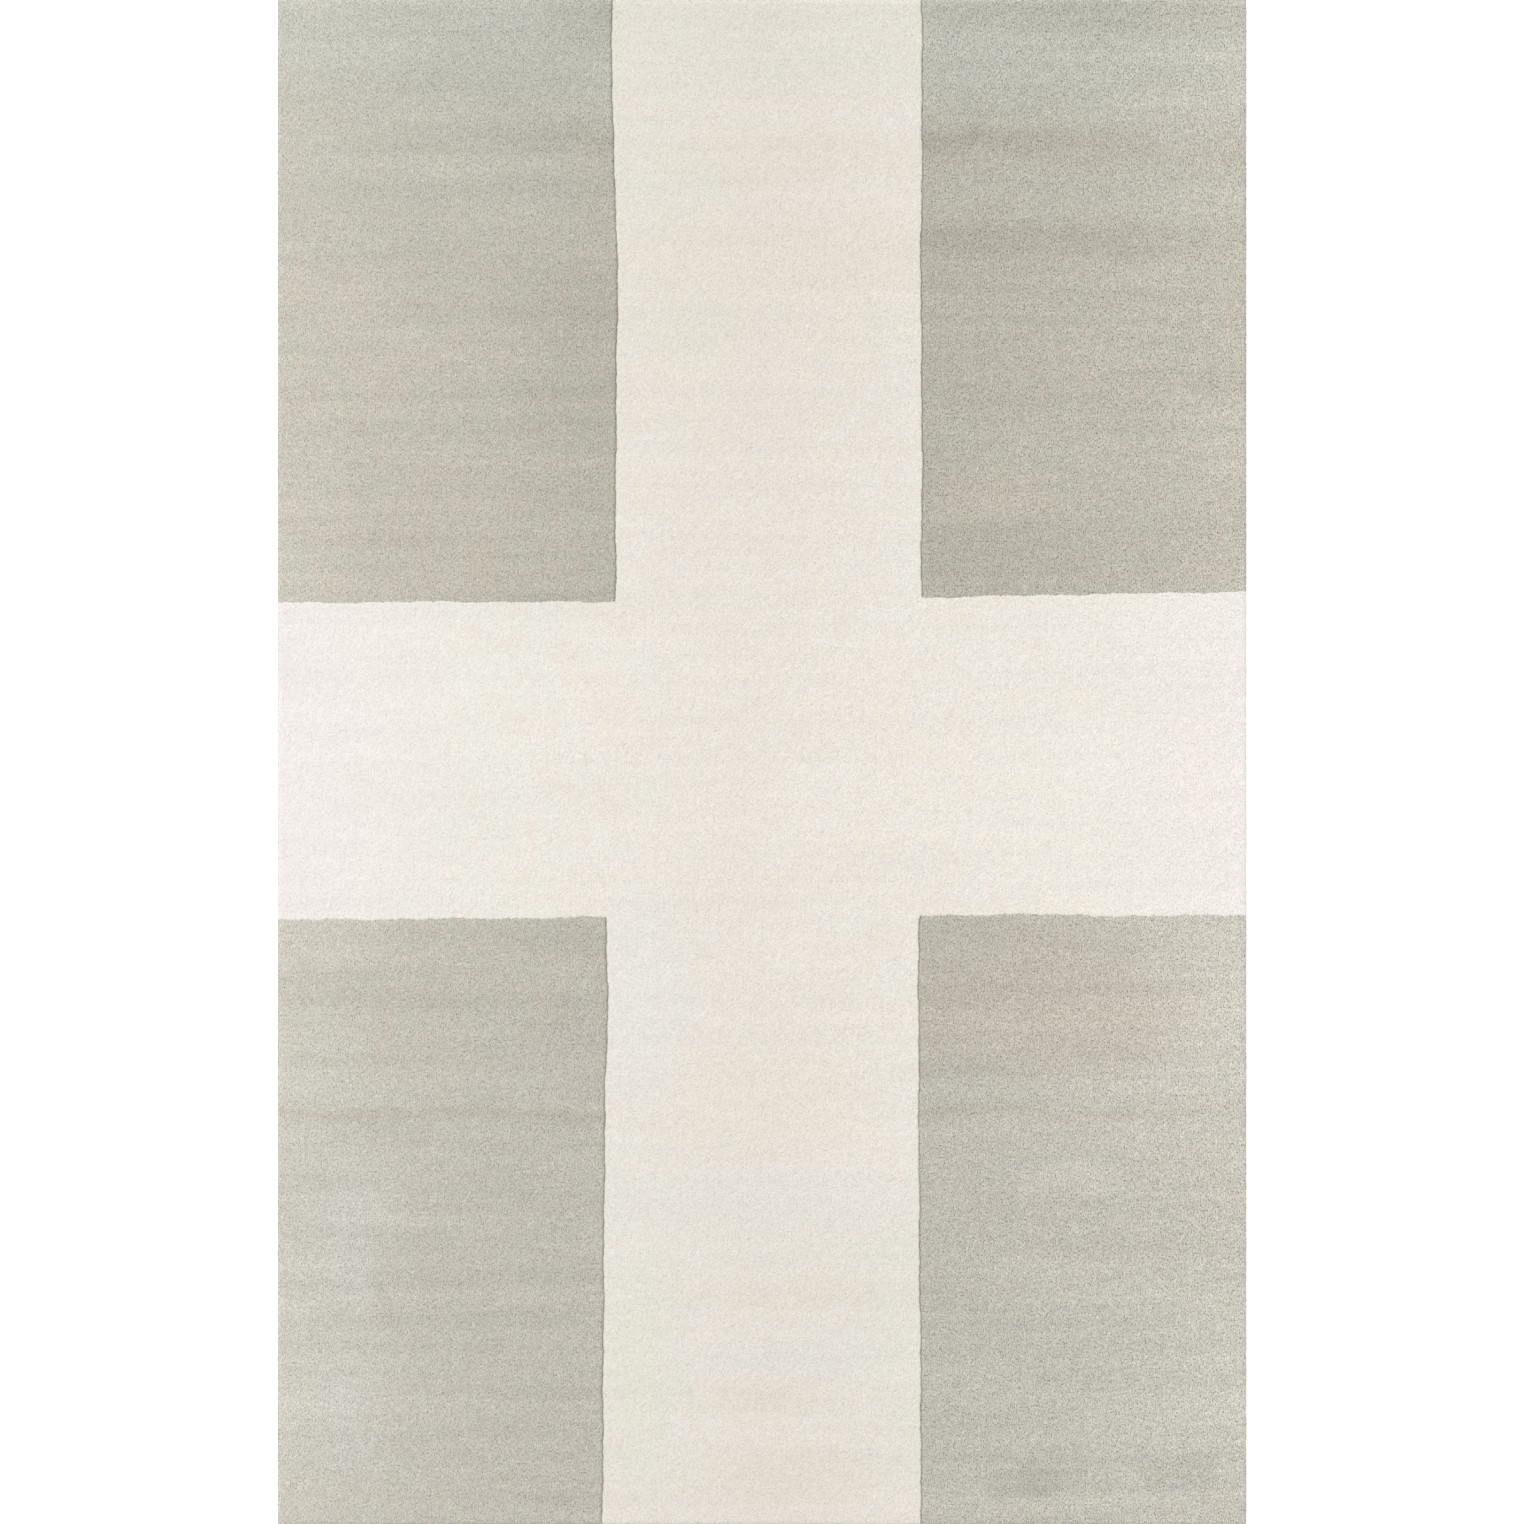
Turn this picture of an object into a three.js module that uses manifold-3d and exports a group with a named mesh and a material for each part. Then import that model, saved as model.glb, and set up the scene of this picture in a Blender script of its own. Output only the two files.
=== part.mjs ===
// A hand-tufted area rug: a cream cross and four sage corner fields of cut wool pile, tufted through a
// cloth that is hemmed underneath, locked with latex and scrim, backed with canvas and bound with tape.
// X runs across the rug, Y along it and Z up, with the origin at the middle of the underside.

import * as THREE from "three";
import { mergeVertices } from "three/addons/utils/BufferGeometryUtils.js";
import Module from "manifold-3d";

const wasm = await Module();
wasm.setup();

// Driving dimensions, in millimetres.
const RUG_WIDTH = 1530;
const RUG_LENGTH = 2410;

// The layers' thicknesses, from the floor up.
const TAPE_THICKNESS = 0.75;
const CANVAS_THICKNESS = 1;
const SCRIM_THICKNESS = 0.5;
const LATEX_THICKNESS = 1;
const CLOTH_THICKNESS = 1;
const PILE_HEIGHT = 11.75;

// The heights where the layers start.
const CANVAS_BASE = TAPE_THICKNESS;
const SCRIM_BASE = CANVAS_BASE + CANVAS_THICKNESS;
const LATEX_BASE = SCRIM_BASE + SCRIM_THICKNESS;
const CLOTH_BASE = LATEX_BASE + LATEX_THICKNESS;
const PILE_BASE = CLOTH_BASE + CLOTH_THICKNESS;

// The pile: the shears round its edges over, and a narrow cut parts one colour from the next.
const BEVEL_IN = 1.25;
const BEVEL_DOWN = 4;
const CARVED_GAP = 0.5;
const FIELD_CORNER_RADIUS = 7;
const SPLINE_STEPS = 5;

// The cloth's outline stands back under the pile, and its edge is folded under as a hem.
const CLOTH_SETBACK = 1.5;
const HEM_DEPTH = 32;
const HEM_MITRE_SLIT = 0.5;
const CANVAS_CLEARANCE = 1;

// The binding tape covers the hem and the canvas edge, and is sewn with two rows of thread.
const TAPE_SETBACK = 4;
const TAPE_WIDTH = 42;
const TAPE_MITRE_GAP = 0.4;
const STITCH_INSET = 3.5;
const STITCH_END_CLEARANCE = 8;
const STITCH_WIDTH = 1;
const STITCH_HEIGHT = 0.3;
const STITCH_SIDES = 8;
const CHANNEL_WIDTH = 1.6;
const CHANNEL_DEPTH = 0.375;
const CHANNEL_END = 1;

// The care label is sewn to the canvas in the front left corner, just inside the tape.
const LABEL_WIDTH = 60;
const LABEL_LENGTH = 90;
const LABEL_THICKNESS = 0.375;
const LABEL_FROM_TAPE = 3;
const LABEL_STITCH_INSET = 4;
const LABEL_STITCH_WIDTH = 0.75;
const LABEL_STITCH_HEIGHT = 0.25;

// The carved lines, which are cut by hand and run a little crooked. Each arm is listed from the rug's
// side inwards and each upright from the arm to the rug's end; they meet at the field's inner corner.
const FIELDS = {
  back_left: {
    sideX: -1,
    sideY: 1,
    arm: [[-765, 252], [-610, 252.5], [-430, 253.5], [-231, 252.5]],
    upright: [[-231, 252.5], [-231, 520], [-228.5, 790], [-235, 980], [-238, 1205]],
  },
  back_right: {
    sideX: 1,
    sideY: 1,
    arm: [[765, 269.5], [640, 267], [500, 265], [252, 260]],
    upright: [[252, 260], [253.5, 520], [251.5, 760], [253.5, 990], [252.5, 1205]],
  },
  front_left: {
    sideX: -1,
    sideY: -1,
    arm: [[-765, -249], [-620, -248], [-440, -247], [-246, -244.5]],
    upright: [[-246, -244.5], [-244, -390], [-248, -550], [-250.5, -870], [-252, -1205]],
  },
  front_right: {
    sideX: 1,
    sideY: -1,
    arm: [[765, -241], [600, -243], [430, -240.5], [248, -242]],
    upright: [[248, -242], [248, -420], [249, -720], [252, -1050], [250.5, -1205]],
  },
};

const CREAM = 0xebe5d9;
const SAGE = 0xc3c0b4;
const UNDYED_COTTON = 0xd9cfb8;
const CANVAS = 0xcdbf9f;
const LATEX = 0xe6ddc4;
const TAPE = 0xc9bfa8;
const THREAD = 0xe4dcc8;
const LABEL = 0xf1efe9;

const rug = new THREE.Group();

function addPiece(name, geometry, colour, roughness, parent = rug) {
  const material = new THREE.MeshStandardMaterial({ color: colour, roughness, metalness: 0 });
  const mesh = new THREE.Mesh(geometry, material);
  mesh.name = name;
  parent.add(mesh);
  return mesh;
}

// Turns a closed geometry into a solid that can be joined and cut.
function solidFrom(geometry) {
  const bare = geometry.clone();
  bare.deleteAttribute("normal");
  bare.deleteAttribute("uv");
  const merged = mergeVertices(bare, 1e-5);
  const vertProperties = new Float32Array(merged.attributes.position.array);
  const triVerts = new Uint32Array(merged.index.array);
  return new wasm.Manifold(new wasm.Mesh({ numProp: 3, vertProperties, triVerts }));
}

function geometryFrom(solid) {
  const mesh = solid.getMesh();
  const geometry = new THREE.BufferGeometry();
  geometry.setAttribute("position", new THREE.BufferAttribute(mesh.vertProperties, 3));
  geometry.setIndex(new THREE.BufferAttribute(mesh.triVerts, 1));
  return geometry;
}

// A box that is centred across X and Y and stands on the height base.
function slab(width, length, base, thickness) {
  const geometry = new THREE.BoxGeometry(width, length, thickness);
  geometry.translate(0, 0, base + thickness / 2);
  return geometry;
}

// One field's carved line from the rug's side to its end, moved inset towards the field's outer corner.
function carvedLine({ sideX, sideY, arm, upright }, inset) {
  const moved = ([x, y]) => new THREE.Vector2(x + sideX * inset, y + sideY * inset);
  const corner = moved(upright[0]);
  const armEnd = new THREE.Vector2(corner.x + sideX * FIELD_CORNER_RADIUS, corner.y);
  const uprightStart = new THREE.Vector2(corner.x, corner.y + sideY * FIELD_CORNER_RADIUS);
  const armPoints = arm.slice(0, -1).map(moved);
  const uprightPoints = upright.slice(1).map(moved);
  armPoints[0].x = sideX * RUG_WIDTH / 2;
  uprightPoints.at(-1).y = sideY * RUG_LENGTH / 2;
  const line = new THREE.Path();
  line.moveTo(armPoints[0].x, armPoints[0].y);
  line.splineThru([...armPoints.slice(1), armEnd]);
  line.quadraticCurveTo(corner.x, corner.y, uprightStart.x, uprightStart.y);
  line.splineThru(uprightPoints);
  return line.getPoints(SPLINE_STEPS);
}

// A pile field of the given outline, with its top edges rounded over by the shears. The extrusion is
// bevelled at both ends, so it starts deeper and its lower bevel is cut off at the cloth.
function pileField(outline) {
  const geometry = new THREE.ExtrudeGeometry(new THREE.Shape(outline), {
    depth: PILE_HEIGHT - BEVEL_DOWN,
    bevelEnabled: true,
    bevelThickness: BEVEL_DOWN,
    bevelSize: BEVEL_IN,
    bevelOffset: -BEVEL_IN,
    bevelSegments: 1,
  });
  geometry.translate(0, 0, PILE_BASE);
  const margin = 10;
  const below = slab(RUG_WIDTH + margin, RUG_LENGTH + margin, PILE_BASE - margin, margin);
  return geometryFrom(solidFrom(geometry).subtract(solidFrom(below)));
}

function cornerField(field) {
  const outerCorner = new THREE.Vector2(field.sideX * RUG_WIDTH / 2, field.sideY * RUG_LENGTH / 2);
  return pileField([...carvedLine(field, CARVED_GAP / 2), outerCorner]);
}

function crossField() {
  const line = (name) => carvedLine(FIELDS[name], -CARVED_GAP / 2);
  return pileField([
    ...line("back_right").reverse(),
    ...line("front_right"),
    ...line("front_left").reverse(),
    ...line("back_left"),
  ]);
}

// The tufting cloth with its edge turned under: a flat sheet, the fold round its four sides and the
// hem below, which is slit along each corner's mitre.
function tuftingCloth() {
  const width = RUG_WIDTH - 2 * CLOTH_SETBACK;
  const length = RUG_LENGTH - 2 * CLOTH_SETBACK;
  const height = PILE_BASE - CANVAS_BASE;
  const coreWidth = width - 2 * CLOTH_THICKNESS;
  const coreLength = length - 2 * CLOTH_THICKNESS;
  const core = slab(coreWidth, coreLength, SCRIM_BASE, CLOTH_BASE - SCRIM_BASE);
  const mouth = slab(width - 2 * HEM_DEPTH, length - 2 * HEM_DEPTH, 0, SCRIM_BASE + SCRIM_THICKNESS);
  let solid = solidFrom(slab(width, length, CANVAS_BASE, height));
  solid = solid.subtract(solidFrom(core)).subtract(solidFrom(mouth));
  const slitLength = (HEM_DEPTH + CLOTH_THICKNESS) * Math.SQRT2;
  for (const sideX of [-1, 1]) {
    for (const sideY of [-1, 1]) {
      const slit = slab(slitLength, HEM_MITRE_SLIT, 0, SCRIM_BASE + SCRIM_THICKNESS);
      slit.rotateZ(Math.atan2(sideY, sideX));
      const inFromCorner = CLOTH_THICKNESS * 2 + slitLength / 2 / Math.SQRT2;
      slit.translate(sideX * (width / 2 - inFromCorner), sideY * (length / 2 - inFromCorner), 0);
      solid = solid.subtract(solidFrom(slit));
    }
  }
  return geometryFrom(solid);
}

// A strip of binding tape in its own frame: its outer edge lies along X at y = 0, its ends are mitred,
// and each row of sewing sinks into a channel on its underside.
function bindingTape(edgeLength) {
  const half = edgeLength / 2 - TAPE_MITRE_GAP;
  const strip = new THREE.Shape([
    new THREE.Vector2(-half, 0),
    new THREE.Vector2(half, 0),
    new THREE.Vector2(half - TAPE_WIDTH, TAPE_WIDTH),
    new THREE.Vector2(-half + TAPE_WIDTH, TAPE_WIDTH),
  ]);
  const options = { depth: TAPE_THICKNESS, bevelEnabled: false };
  let solid = solidFrom(new THREE.ExtrudeGeometry(strip, options));
  for (const inset of [STITCH_INSET, TAPE_WIDTH - STITCH_INSET]) {
    const length = stitchLength(edgeLength, inset) + 2 * CHANNEL_END;
    const channel = slab(length, CHANNEL_WIDTH, -CHANNEL_DEPTH, 2 * CHANNEL_DEPTH);
    channel.translate(0, inset, 0);
    solid = solid.subtract(solidFrom(channel));
  }
  return geometryFrom(solid);
}

function stitchLength(edgeLength, inset) {
  return edgeLength - 2 * (inset + STITCH_END_CLEARANCE);
}

// A row of sewing thread along X, pressed flat under the tape.
function stitchRow(edgeLength, inset) {
  const length = stitchLength(edgeLength, inset);
  const geometry = new THREE.CylinderGeometry(STITCH_WIDTH / 2, STITCH_WIDTH / 2, length, STITCH_SIDES);
  geometry.rotateZ(Math.PI / 2);
  geometry.scale(1, 1, STITCH_HEIGHT / STITCH_WIDTH);
  geometry.translate(0, inset, CHANNEL_DEPTH / 2);
  return geometry;
}

function careLabel() {
  return slab(LABEL_WIDTH, LABEL_LENGTH, CANVAS_BASE - LABEL_THICKNESS, LABEL_THICKNESS);
}

// The label's sewing, a rectangle of thread on the label's underside.
function labelStitch() {
  const loop = (inset) => {
    const x = LABEL_WIDTH / 2 - inset;
    const y = LABEL_LENGTH / 2 - inset;
    return [[-x, -y], [x, -y], [x, y], [-x, y]].map(([px, py]) => new THREE.Vector2(px, py));
  };
  const shape = new THREE.Shape(loop(LABEL_STITCH_INSET));
  shape.holes.push(new THREE.Path(loop(LABEL_STITCH_INSET + LABEL_STITCH_WIDTH)));
  const geometry = new THREE.ExtrudeGeometry(shape, { depth: LABEL_STITCH_HEIGHT, bevelEnabled: false });
  geometry.translate(0, 0, CANVAS_BASE - LABEL_THICKNESS - LABEL_STITCH_HEIGHT);
  return geometry;
}

addPiece("cream_cross_pile", crossField(), CREAM, 0.95);
for (const [name, field] of Object.entries(FIELDS)) {
  addPiece(`sage_pile_${name}`, cornerField(field), SAGE, 0.95);
}

addPiece("tufting_cloth", tuftingCloth(), UNDYED_COTTON, 0.9);
const coreWidth = RUG_WIDTH - 2 * (CLOTH_SETBACK + CLOTH_THICKNESS);
const coreLength = RUG_LENGTH - 2 * (CLOTH_SETBACK + CLOTH_THICKNESS);
addPiece("latex_coat", slab(coreWidth, coreLength, LATEX_BASE, LATEX_THICKNESS), LATEX, 0.6);
addPiece("scrim_gauze", slab(coreWidth, coreLength, SCRIM_BASE, SCRIM_THICKNESS), UNDYED_COTTON, 0.9);

const canvasInset = CLOTH_SETBACK + HEM_DEPTH + CANVAS_CLEARANCE;
const canvasWidth = RUG_WIDTH - 2 * canvasInset;
const canvasLength = RUG_LENGTH - 2 * canvasInset;
addPiece("canvas_backing", slab(canvasWidth, canvasLength, CANVAS_BASE, CANVAS_THICKNESS), CANVAS, 0.9);

// Each edge of the underside: its tape and its two rows of thread, in a group turned to that edge.
const EDGES = [
  { name: "front", turn: 0, edge: RUG_WIDTH, across: RUG_LENGTH },
  { name: "right", turn: Math.PI / 2, edge: RUG_LENGTH, across: RUG_WIDTH },
  { name: "back", turn: Math.PI, edge: RUG_WIDTH, across: RUG_LENGTH },
  { name: "left", turn: -Math.PI / 2, edge: RUG_LENGTH, across: RUG_WIDTH },
];
for (const { name, turn, edge, across } of EDGES) {
  const length = edge - 2 * TAPE_SETBACK;
  const side = new THREE.Group();
  side.rotation.z = turn;
  const out = across / 2 - TAPE_SETBACK;
  side.position.set(out * Math.sin(turn), -out * Math.cos(turn), 0);
  addPiece(`binding_tape_${name}`, bindingTape(length), TAPE, 0.9, side);
  addPiece(`tape_stitch_outer_${name}`, stitchRow(length, STITCH_INSET), THREAD, 0.8, side);
  addPiece(`tape_stitch_inner_${name}`, stitchRow(length, TAPE_WIDTH - STITCH_INSET), THREAD, 0.8, side);
  rug.add(side);
}

const labelCorner = TAPE_SETBACK + TAPE_WIDTH + LABEL_FROM_TAPE;
const label = new THREE.Group();
label.position.x = -RUG_WIDTH / 2 + labelCorner + LABEL_WIDTH / 2;
label.position.y = -RUG_LENGTH / 2 + labelCorner + LABEL_LENGTH / 2;
addPiece("care_label", careLabel(), LABEL, 0.7, label);
addPiece("label_stitch", labelStitch(), THREAD, 0.8, label);
rug.add(label);

export default rug;
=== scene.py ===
"""A hand-tufted area rug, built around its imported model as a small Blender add-on.

The wool pile is real relief on one lattice of tufts that follows the carved lines, with a row of
separate tufts standing along the rug's rim. Under it lie the hemmed tufting cloth, scrim, latex,
canvas, twill binding tape with its two rows of lockstitch, and a blank care label.
"""
import math

import bpy
import numpy as np
from bpy.props import FloatProperty, FloatVectorProperty, IntProperty, PointerProperty
from bpy.types import Operator, Panel, PropertyGroup
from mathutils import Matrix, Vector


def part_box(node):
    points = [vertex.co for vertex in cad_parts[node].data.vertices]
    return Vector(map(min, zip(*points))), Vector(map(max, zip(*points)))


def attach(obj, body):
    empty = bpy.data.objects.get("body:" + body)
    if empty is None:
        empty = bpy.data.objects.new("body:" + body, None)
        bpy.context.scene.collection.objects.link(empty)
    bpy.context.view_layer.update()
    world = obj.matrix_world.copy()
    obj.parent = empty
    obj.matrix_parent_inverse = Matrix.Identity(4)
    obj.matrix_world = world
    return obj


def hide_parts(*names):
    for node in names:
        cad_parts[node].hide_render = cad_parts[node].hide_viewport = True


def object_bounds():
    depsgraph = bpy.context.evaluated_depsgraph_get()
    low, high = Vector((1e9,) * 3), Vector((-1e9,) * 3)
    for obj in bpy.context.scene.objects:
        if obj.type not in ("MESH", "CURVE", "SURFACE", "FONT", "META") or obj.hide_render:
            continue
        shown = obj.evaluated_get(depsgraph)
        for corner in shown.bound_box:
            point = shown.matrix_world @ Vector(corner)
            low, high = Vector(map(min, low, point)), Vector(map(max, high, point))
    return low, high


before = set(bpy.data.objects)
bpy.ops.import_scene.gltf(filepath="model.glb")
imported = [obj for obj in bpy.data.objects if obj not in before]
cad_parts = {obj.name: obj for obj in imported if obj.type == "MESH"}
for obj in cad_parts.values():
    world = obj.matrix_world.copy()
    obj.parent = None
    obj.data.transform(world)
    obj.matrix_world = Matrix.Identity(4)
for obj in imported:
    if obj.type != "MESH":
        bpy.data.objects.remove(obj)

bl_info = {
    "name": "Hand-Tufted Area Rug",
    "version": (1, 0, 0),
    "blender": (4, 5, 0),
    "location": "3D View > Sidebar > Rug",
    "description": "Builds a carved, cut-pile wool rug with its backing, binding and stitching",
    "category": "Add Mesh",
}

MM = 0.001
BODY = "root"
UV_MAP = "OFBake"

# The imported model's own places, which every piece below is built from.
CAD_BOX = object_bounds()
HALF_WIDTH = CAD_BOX[1].x
HALF_LENGTH = CAD_BOX[1].y
PILE_TOP = CAD_BOX[1].z
PILE_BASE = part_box("cream_cross_pile")[0].z
FIELDS = ("back_left", "back_right", "front_left", "front_right")
EDGES = ("front", "right", "back", "left")


def linear(code):
    """The linear colour of an sRGB hex value."""
    channels = [int(code[i:i + 2], 16) / 255 for i in (1, 3, 5)]
    return tuple(c / 12.92 if c <= 0.04045 else ((c + 0.055) / 1.055) ** 2.4 for c in channels)


def length(name, default, description):
    return FloatProperty(name=name, default=default, description=description, min=0, unit="LENGTH",
                         precision=5)


def colour(name, code, description):
    return FloatVectorProperty(name=name, default=linear(code), description=description, min=0,
                               max=1, size=3, subtype="COLOR")


class RugPile(PropertyGroup):
    """Sizes and colours of the wool pile."""

    tuft_spacing: length("Tuft spacing", 2.5 * MM, "Distance between points of the pile's relief")
    tuft_jitter: length("Tuft jitter", 0.45 * MM, "How far a tuft strays from its row")
    tuft_relief: length("Tuft relief", 0.55 * MM, "How deep the gaps between tufts are")
    tuft_unevenness: length("Unevenness", 0.22 * MM, "How unequal the cut tufts' heights are")
    nap_lean: length("Nap lean", 0.5 * MM, "How far the tips lean along the rug")
    carve_width: length("Carve width", 2.6 * MM, "Width of a carved line on its sage side")
    carve_depth: length("Carve depth", 3.6 * MM, "Depth of a carved line along the rug")
    closed_depth: length("Closed depth", 0.4 * MM, "Depth of a line across, which the nap closes")
    rim_round: length("Rim rounding", 1.6 * MM, "How far the shears round the rug's rim over")
    strand_pitch: length("Rim tuft pitch", 2.9 * MM, "Distance between the tufts along the rim")
    strand_radius: length("Rim tuft radius", 1.35 * MM, "Radius of a tuft at the rim")
    cream_base: colour("Cream wool", "#D7D0C7", "Undyed wool of the cross")
    cream_patch: colour("Cream, cooler patches", "#D5D2CB", "Cooler fleece blended into the cream")
    cream_warm: colour("Cream, warm lot", "#D4CDC2", "Cream wool from a browner fleece")
    cream_green: colour("Cream, green lot", "#D3D0C5", "Cream wool with a green cast")
    cream_blue: colour("Cream, blue lot", "#D3D0CA", "Cream wool with a blue cast")
    cream_end: colour("Cream, arm ends", "#D7D1CE", "The whitest cream wool")
    sage_base: colour("Sage wool", "#B3AEA2", "Dyed wool of the corner fields")
    sage_patch: colour("Sage, cooler patches", "#B1AFA4", "Cooler yarn blended into the sage")
    sage_warm: colour("Sage, warm lot", "#B3ACA0", "Sage wool from a pinker bath")
    sage_cool: colour("Sage, cool lot", "#B2B2A8", "Sage wool from a greener bath")
    sage_dark: colour("Sage, dark lot", "#A09C91", "Sage wool from a stronger bath")
    sage_pale: colour("Sage, pale lot", "#BCB8AE", "Sage wool from a spent bath")
    sage_blue: colour("Sage, blue lot", "#B8B6B0", "Sage wool from a bluer bath")
    seed: IntProperty(name="Seed", default=7, description="Seed of every random draw", min=0)


class RugBacking(PropertyGroup):
    """Sizes and colours of what lies under the pile."""

    cloth_thickness: length("Cloth thickness", 0.9 * MM, "Thickness of the tufting cloth")
    hem_depth: length("Hem depth", 32 * MM, "How far the cloth's edge is turned under")
    scrim_pitch: length("Scrim pitch", 3 * MM, "Distance between the scrim's yarns")
    scrim_yarn: length("Scrim yarn", 1.2 * MM, "Width of a flat scrim yarn")
    stitch_length: length("Stitch length", 6.4 * MM, "Length of one lockstitch")
    thread_radius: length("Thread radius", 0.36 * MM, "Radius of the sewing thread")
    canvas_thread: length("Canvas thread", 1.1 * MM, "Distance between the canvas's threads")
    twill_rib: length("Twill rib", 1.5 * MM, "Distance between the tape's slanting ribs")
    cotton: colour("Tufting cloth", "#D6CDB9", "Undyed cotton of the tufting cloth")
    canvas: colour("Canvas", "#CBBFA4", "Unbleached cotton canvas")
    tape: colour("Binding tape", "#C6BDA9", "Cotton twill tape")
    thread: colour("Sewing thread", "#E3DCCB", "Spun polyester thread")
    latex: colour("Latex", "#E4DBC3", "Dried latex")
    label: colour("Care label", "#EFEDE7", "Woven satin label")


class RugStage(PropertyGroup):
    """The floor, the light and the camera."""

    floor: colour("Floor", "#F6F6F6", "Plain pale floor")
    floor_size: length("Floor size", 40.0, "Side of the floor")
    ceiling: FloatProperty(name="Ceiling light", default=0.85,
                           description="Strength of the even light from above")
    walls: FloatProperty(name="Wall light", default=1.0,
                         description="Strength of the even light from the sides")
    sun: FloatProperty(name="Soft light", default=1.76, description="Strength of the slanting light")
    sun_angle: FloatProperty(name="Softness", default=math.radians(40), subtype="ANGLE",
                             description="How large the slanting light looks from the rug")
    lens: FloatProperty(name="Lens", default=100.0, description="Focal length in millimetres")


# ---------------------------------------------------------------- meshes

def build_mesh(name, points, quads, polygons=(), uv=None):
    """A mesh of quads and longer polygons. uv gives a place on the flat map to each face corner."""
    mesh = bpy.data.meshes.new(name)
    quads = np.asarray(quads, int).reshape(-1, 4)
    corners = np.concatenate([quads.ravel(), *[np.asarray(p, int) for p in polygons]])
    sizes = np.array([4] * len(quads) + [len(p) for p in polygons])
    mesh.vertices.add(len(points))
    mesh.vertices.foreach_set("co", np.asarray(points, np.float32).ravel())
    mesh.loops.add(len(corners))
    mesh.loops.foreach_set("vertex_index", corners.astype(np.int32))
    mesh.polygons.add(len(sizes))
    mesh.polygons.foreach_set("loop_start", (np.cumsum(sizes) - sizes).astype(np.int32))
    mesh.polygons.foreach_set("use_smooth", np.ones(len(sizes), bool))
    mesh.update(calc_edges=True)
    if uv is not None:
        layer = mesh.uv_layers.new(name=UV_MAP)
        layer.data.foreach_set("uv", np.asarray(uv, np.float32).ravel())
    if mesh.validate():
        raise RuntimeError(f"{name} has faults in its mesh")
    return mesh


def add_object(name, data):
    """Links a new object to the scene."""
    thing = bpy.data.objects.new(name, data)
    bpy.context.scene.collection.objects.link(thing)
    return thing


def add_piece(name, mesh, material, slot, *nodes):
    """Links a new piece that rides on the rug, wears the material and stands for the nodes."""
    piece = add_object(name, mesh)
    mesh.materials.append(material)
    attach(piece, BODY)
    if nodes:
        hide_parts(*nodes)
    return piece


def crease(mesh, ring):
    """Keeps the shading crisp along the edges whose ends both lie in ring."""
    ends = np.zeros(len(mesh.edges) * 2, np.int32)
    mesh.edges.foreach_get("vertices", ends)
    for k in np.flatnonzero(np.isin(ends, ring).reshape(-1, 2).all(1)):
        mesh.edges[k].use_edge_sharp = True


def grid_quads(number):
    """Quads between a grid of numbered points, facing up."""
    return np.stack([number[:-1, :-1], number[1:, :-1], number[1:, 1:], number[:-1, 1:]],
                    -1).reshape(-1, 4)


def tube_quads(rings, sides):
    """Quads of a tube of rings of points, each ring sides long, wound to face out."""
    ring = np.arange(rings - 1)[:, None] * sides
    side = np.arange(sides)[None, :]
    after = (side + 1) % sides
    return np.stack([ring + side, ring + after, ring + after + sides, ring + side + sides],
                    -1).reshape(-1, 4)


def unrolled(rings, sides):
    """Places of a tube's quads on a unit square: round the tube one way, along it the other."""
    ring, side = np.divmod(np.arange((rings - 1) * sides), sides)
    u = np.stack([side, side + 1, side + 1, side], -1) / sides
    v = np.stack([ring, ring, ring + 1, ring + 1], -1) / (rings - 1)
    return np.stack([u, v], -1)


def fitted(flat):
    """Places of a flat map, stretched each way to fill the texture's square."""
    return (flat - flat.min(0)) / (flat.max(0) - flat.min(0)) * 0.98 + 0.01


def tubes_mesh(name, centres, wide, high, sides):
    """Closed tubes along rows of centres. wide and high are each ring's half axes, which turn
    right-handed about the tube's direction. Each tube has its own cell of the flat map."""
    count, rings = centres.shape[:2]
    turn = math.tau * (np.arange(sides) + 0.5) / sides
    points = (centres[:, :, None] + np.cos(turn)[:, None] * wide[:, :, None]
              + np.sin(turn)[:, None] * high[:, :, None])
    first = np.arange(count) * rings * sides
    quads = (first[:, None, None] + tube_quads(rings, sides)).reshape(-1, 4)
    ends = first[:, None] + np.arange(sides)
    polygons = [*ends[:, ::-1], *(ends + (rings - 1) * sides)]

    cells = math.ceil(math.sqrt(count))
    cell = np.stack([np.arange(count) % cells, np.arange(count) // cells], -1)
    strip = unrolled(rings, sides) * (0.92, 0.80) + (0.04, 0.16)
    disc = np.stack([0.2 + 0.05 * np.cos(turn), 0.07 + 0.05 * np.sin(turn)], -1)
    uv = [(cell[:, None, None] + strip[None]).reshape(-1, 2)]
    uv += [(cell[:, None] + disc[None] + (shift, 0)).reshape(-1, 2) for shift in (0, 0.4)]
    return build_mesh(name, points.reshape(-1, 3), quads, polygons, np.concatenate(uv) / cells)


# ---------------------------------------------------------------- materials

def add_node(tree, kind, inputs=None, stops=None, **settings):
    """Adds a shader node with its settings, its colour stops and its inputs, filled or linked."""
    node = tree.nodes.new("ShaderNode" + kind)
    for key, value in settings.items():
        setattr(node, key, value)
    for key, value in (inputs or {}).items():
        if isinstance(value, bpy.types.NodeSocket):
            tree.links.new(value, node.inputs[key])
        else:
            node.inputs[key].default_value = value
    for place, (position, shade) in enumerate(stops or ()):
        elements = node.color_ramp.elements
        element = elements[place] if place < 2 else elements.new(position)
        element.position = position
        element.color = (shade, shade, shade, 1)
    return node


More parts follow.
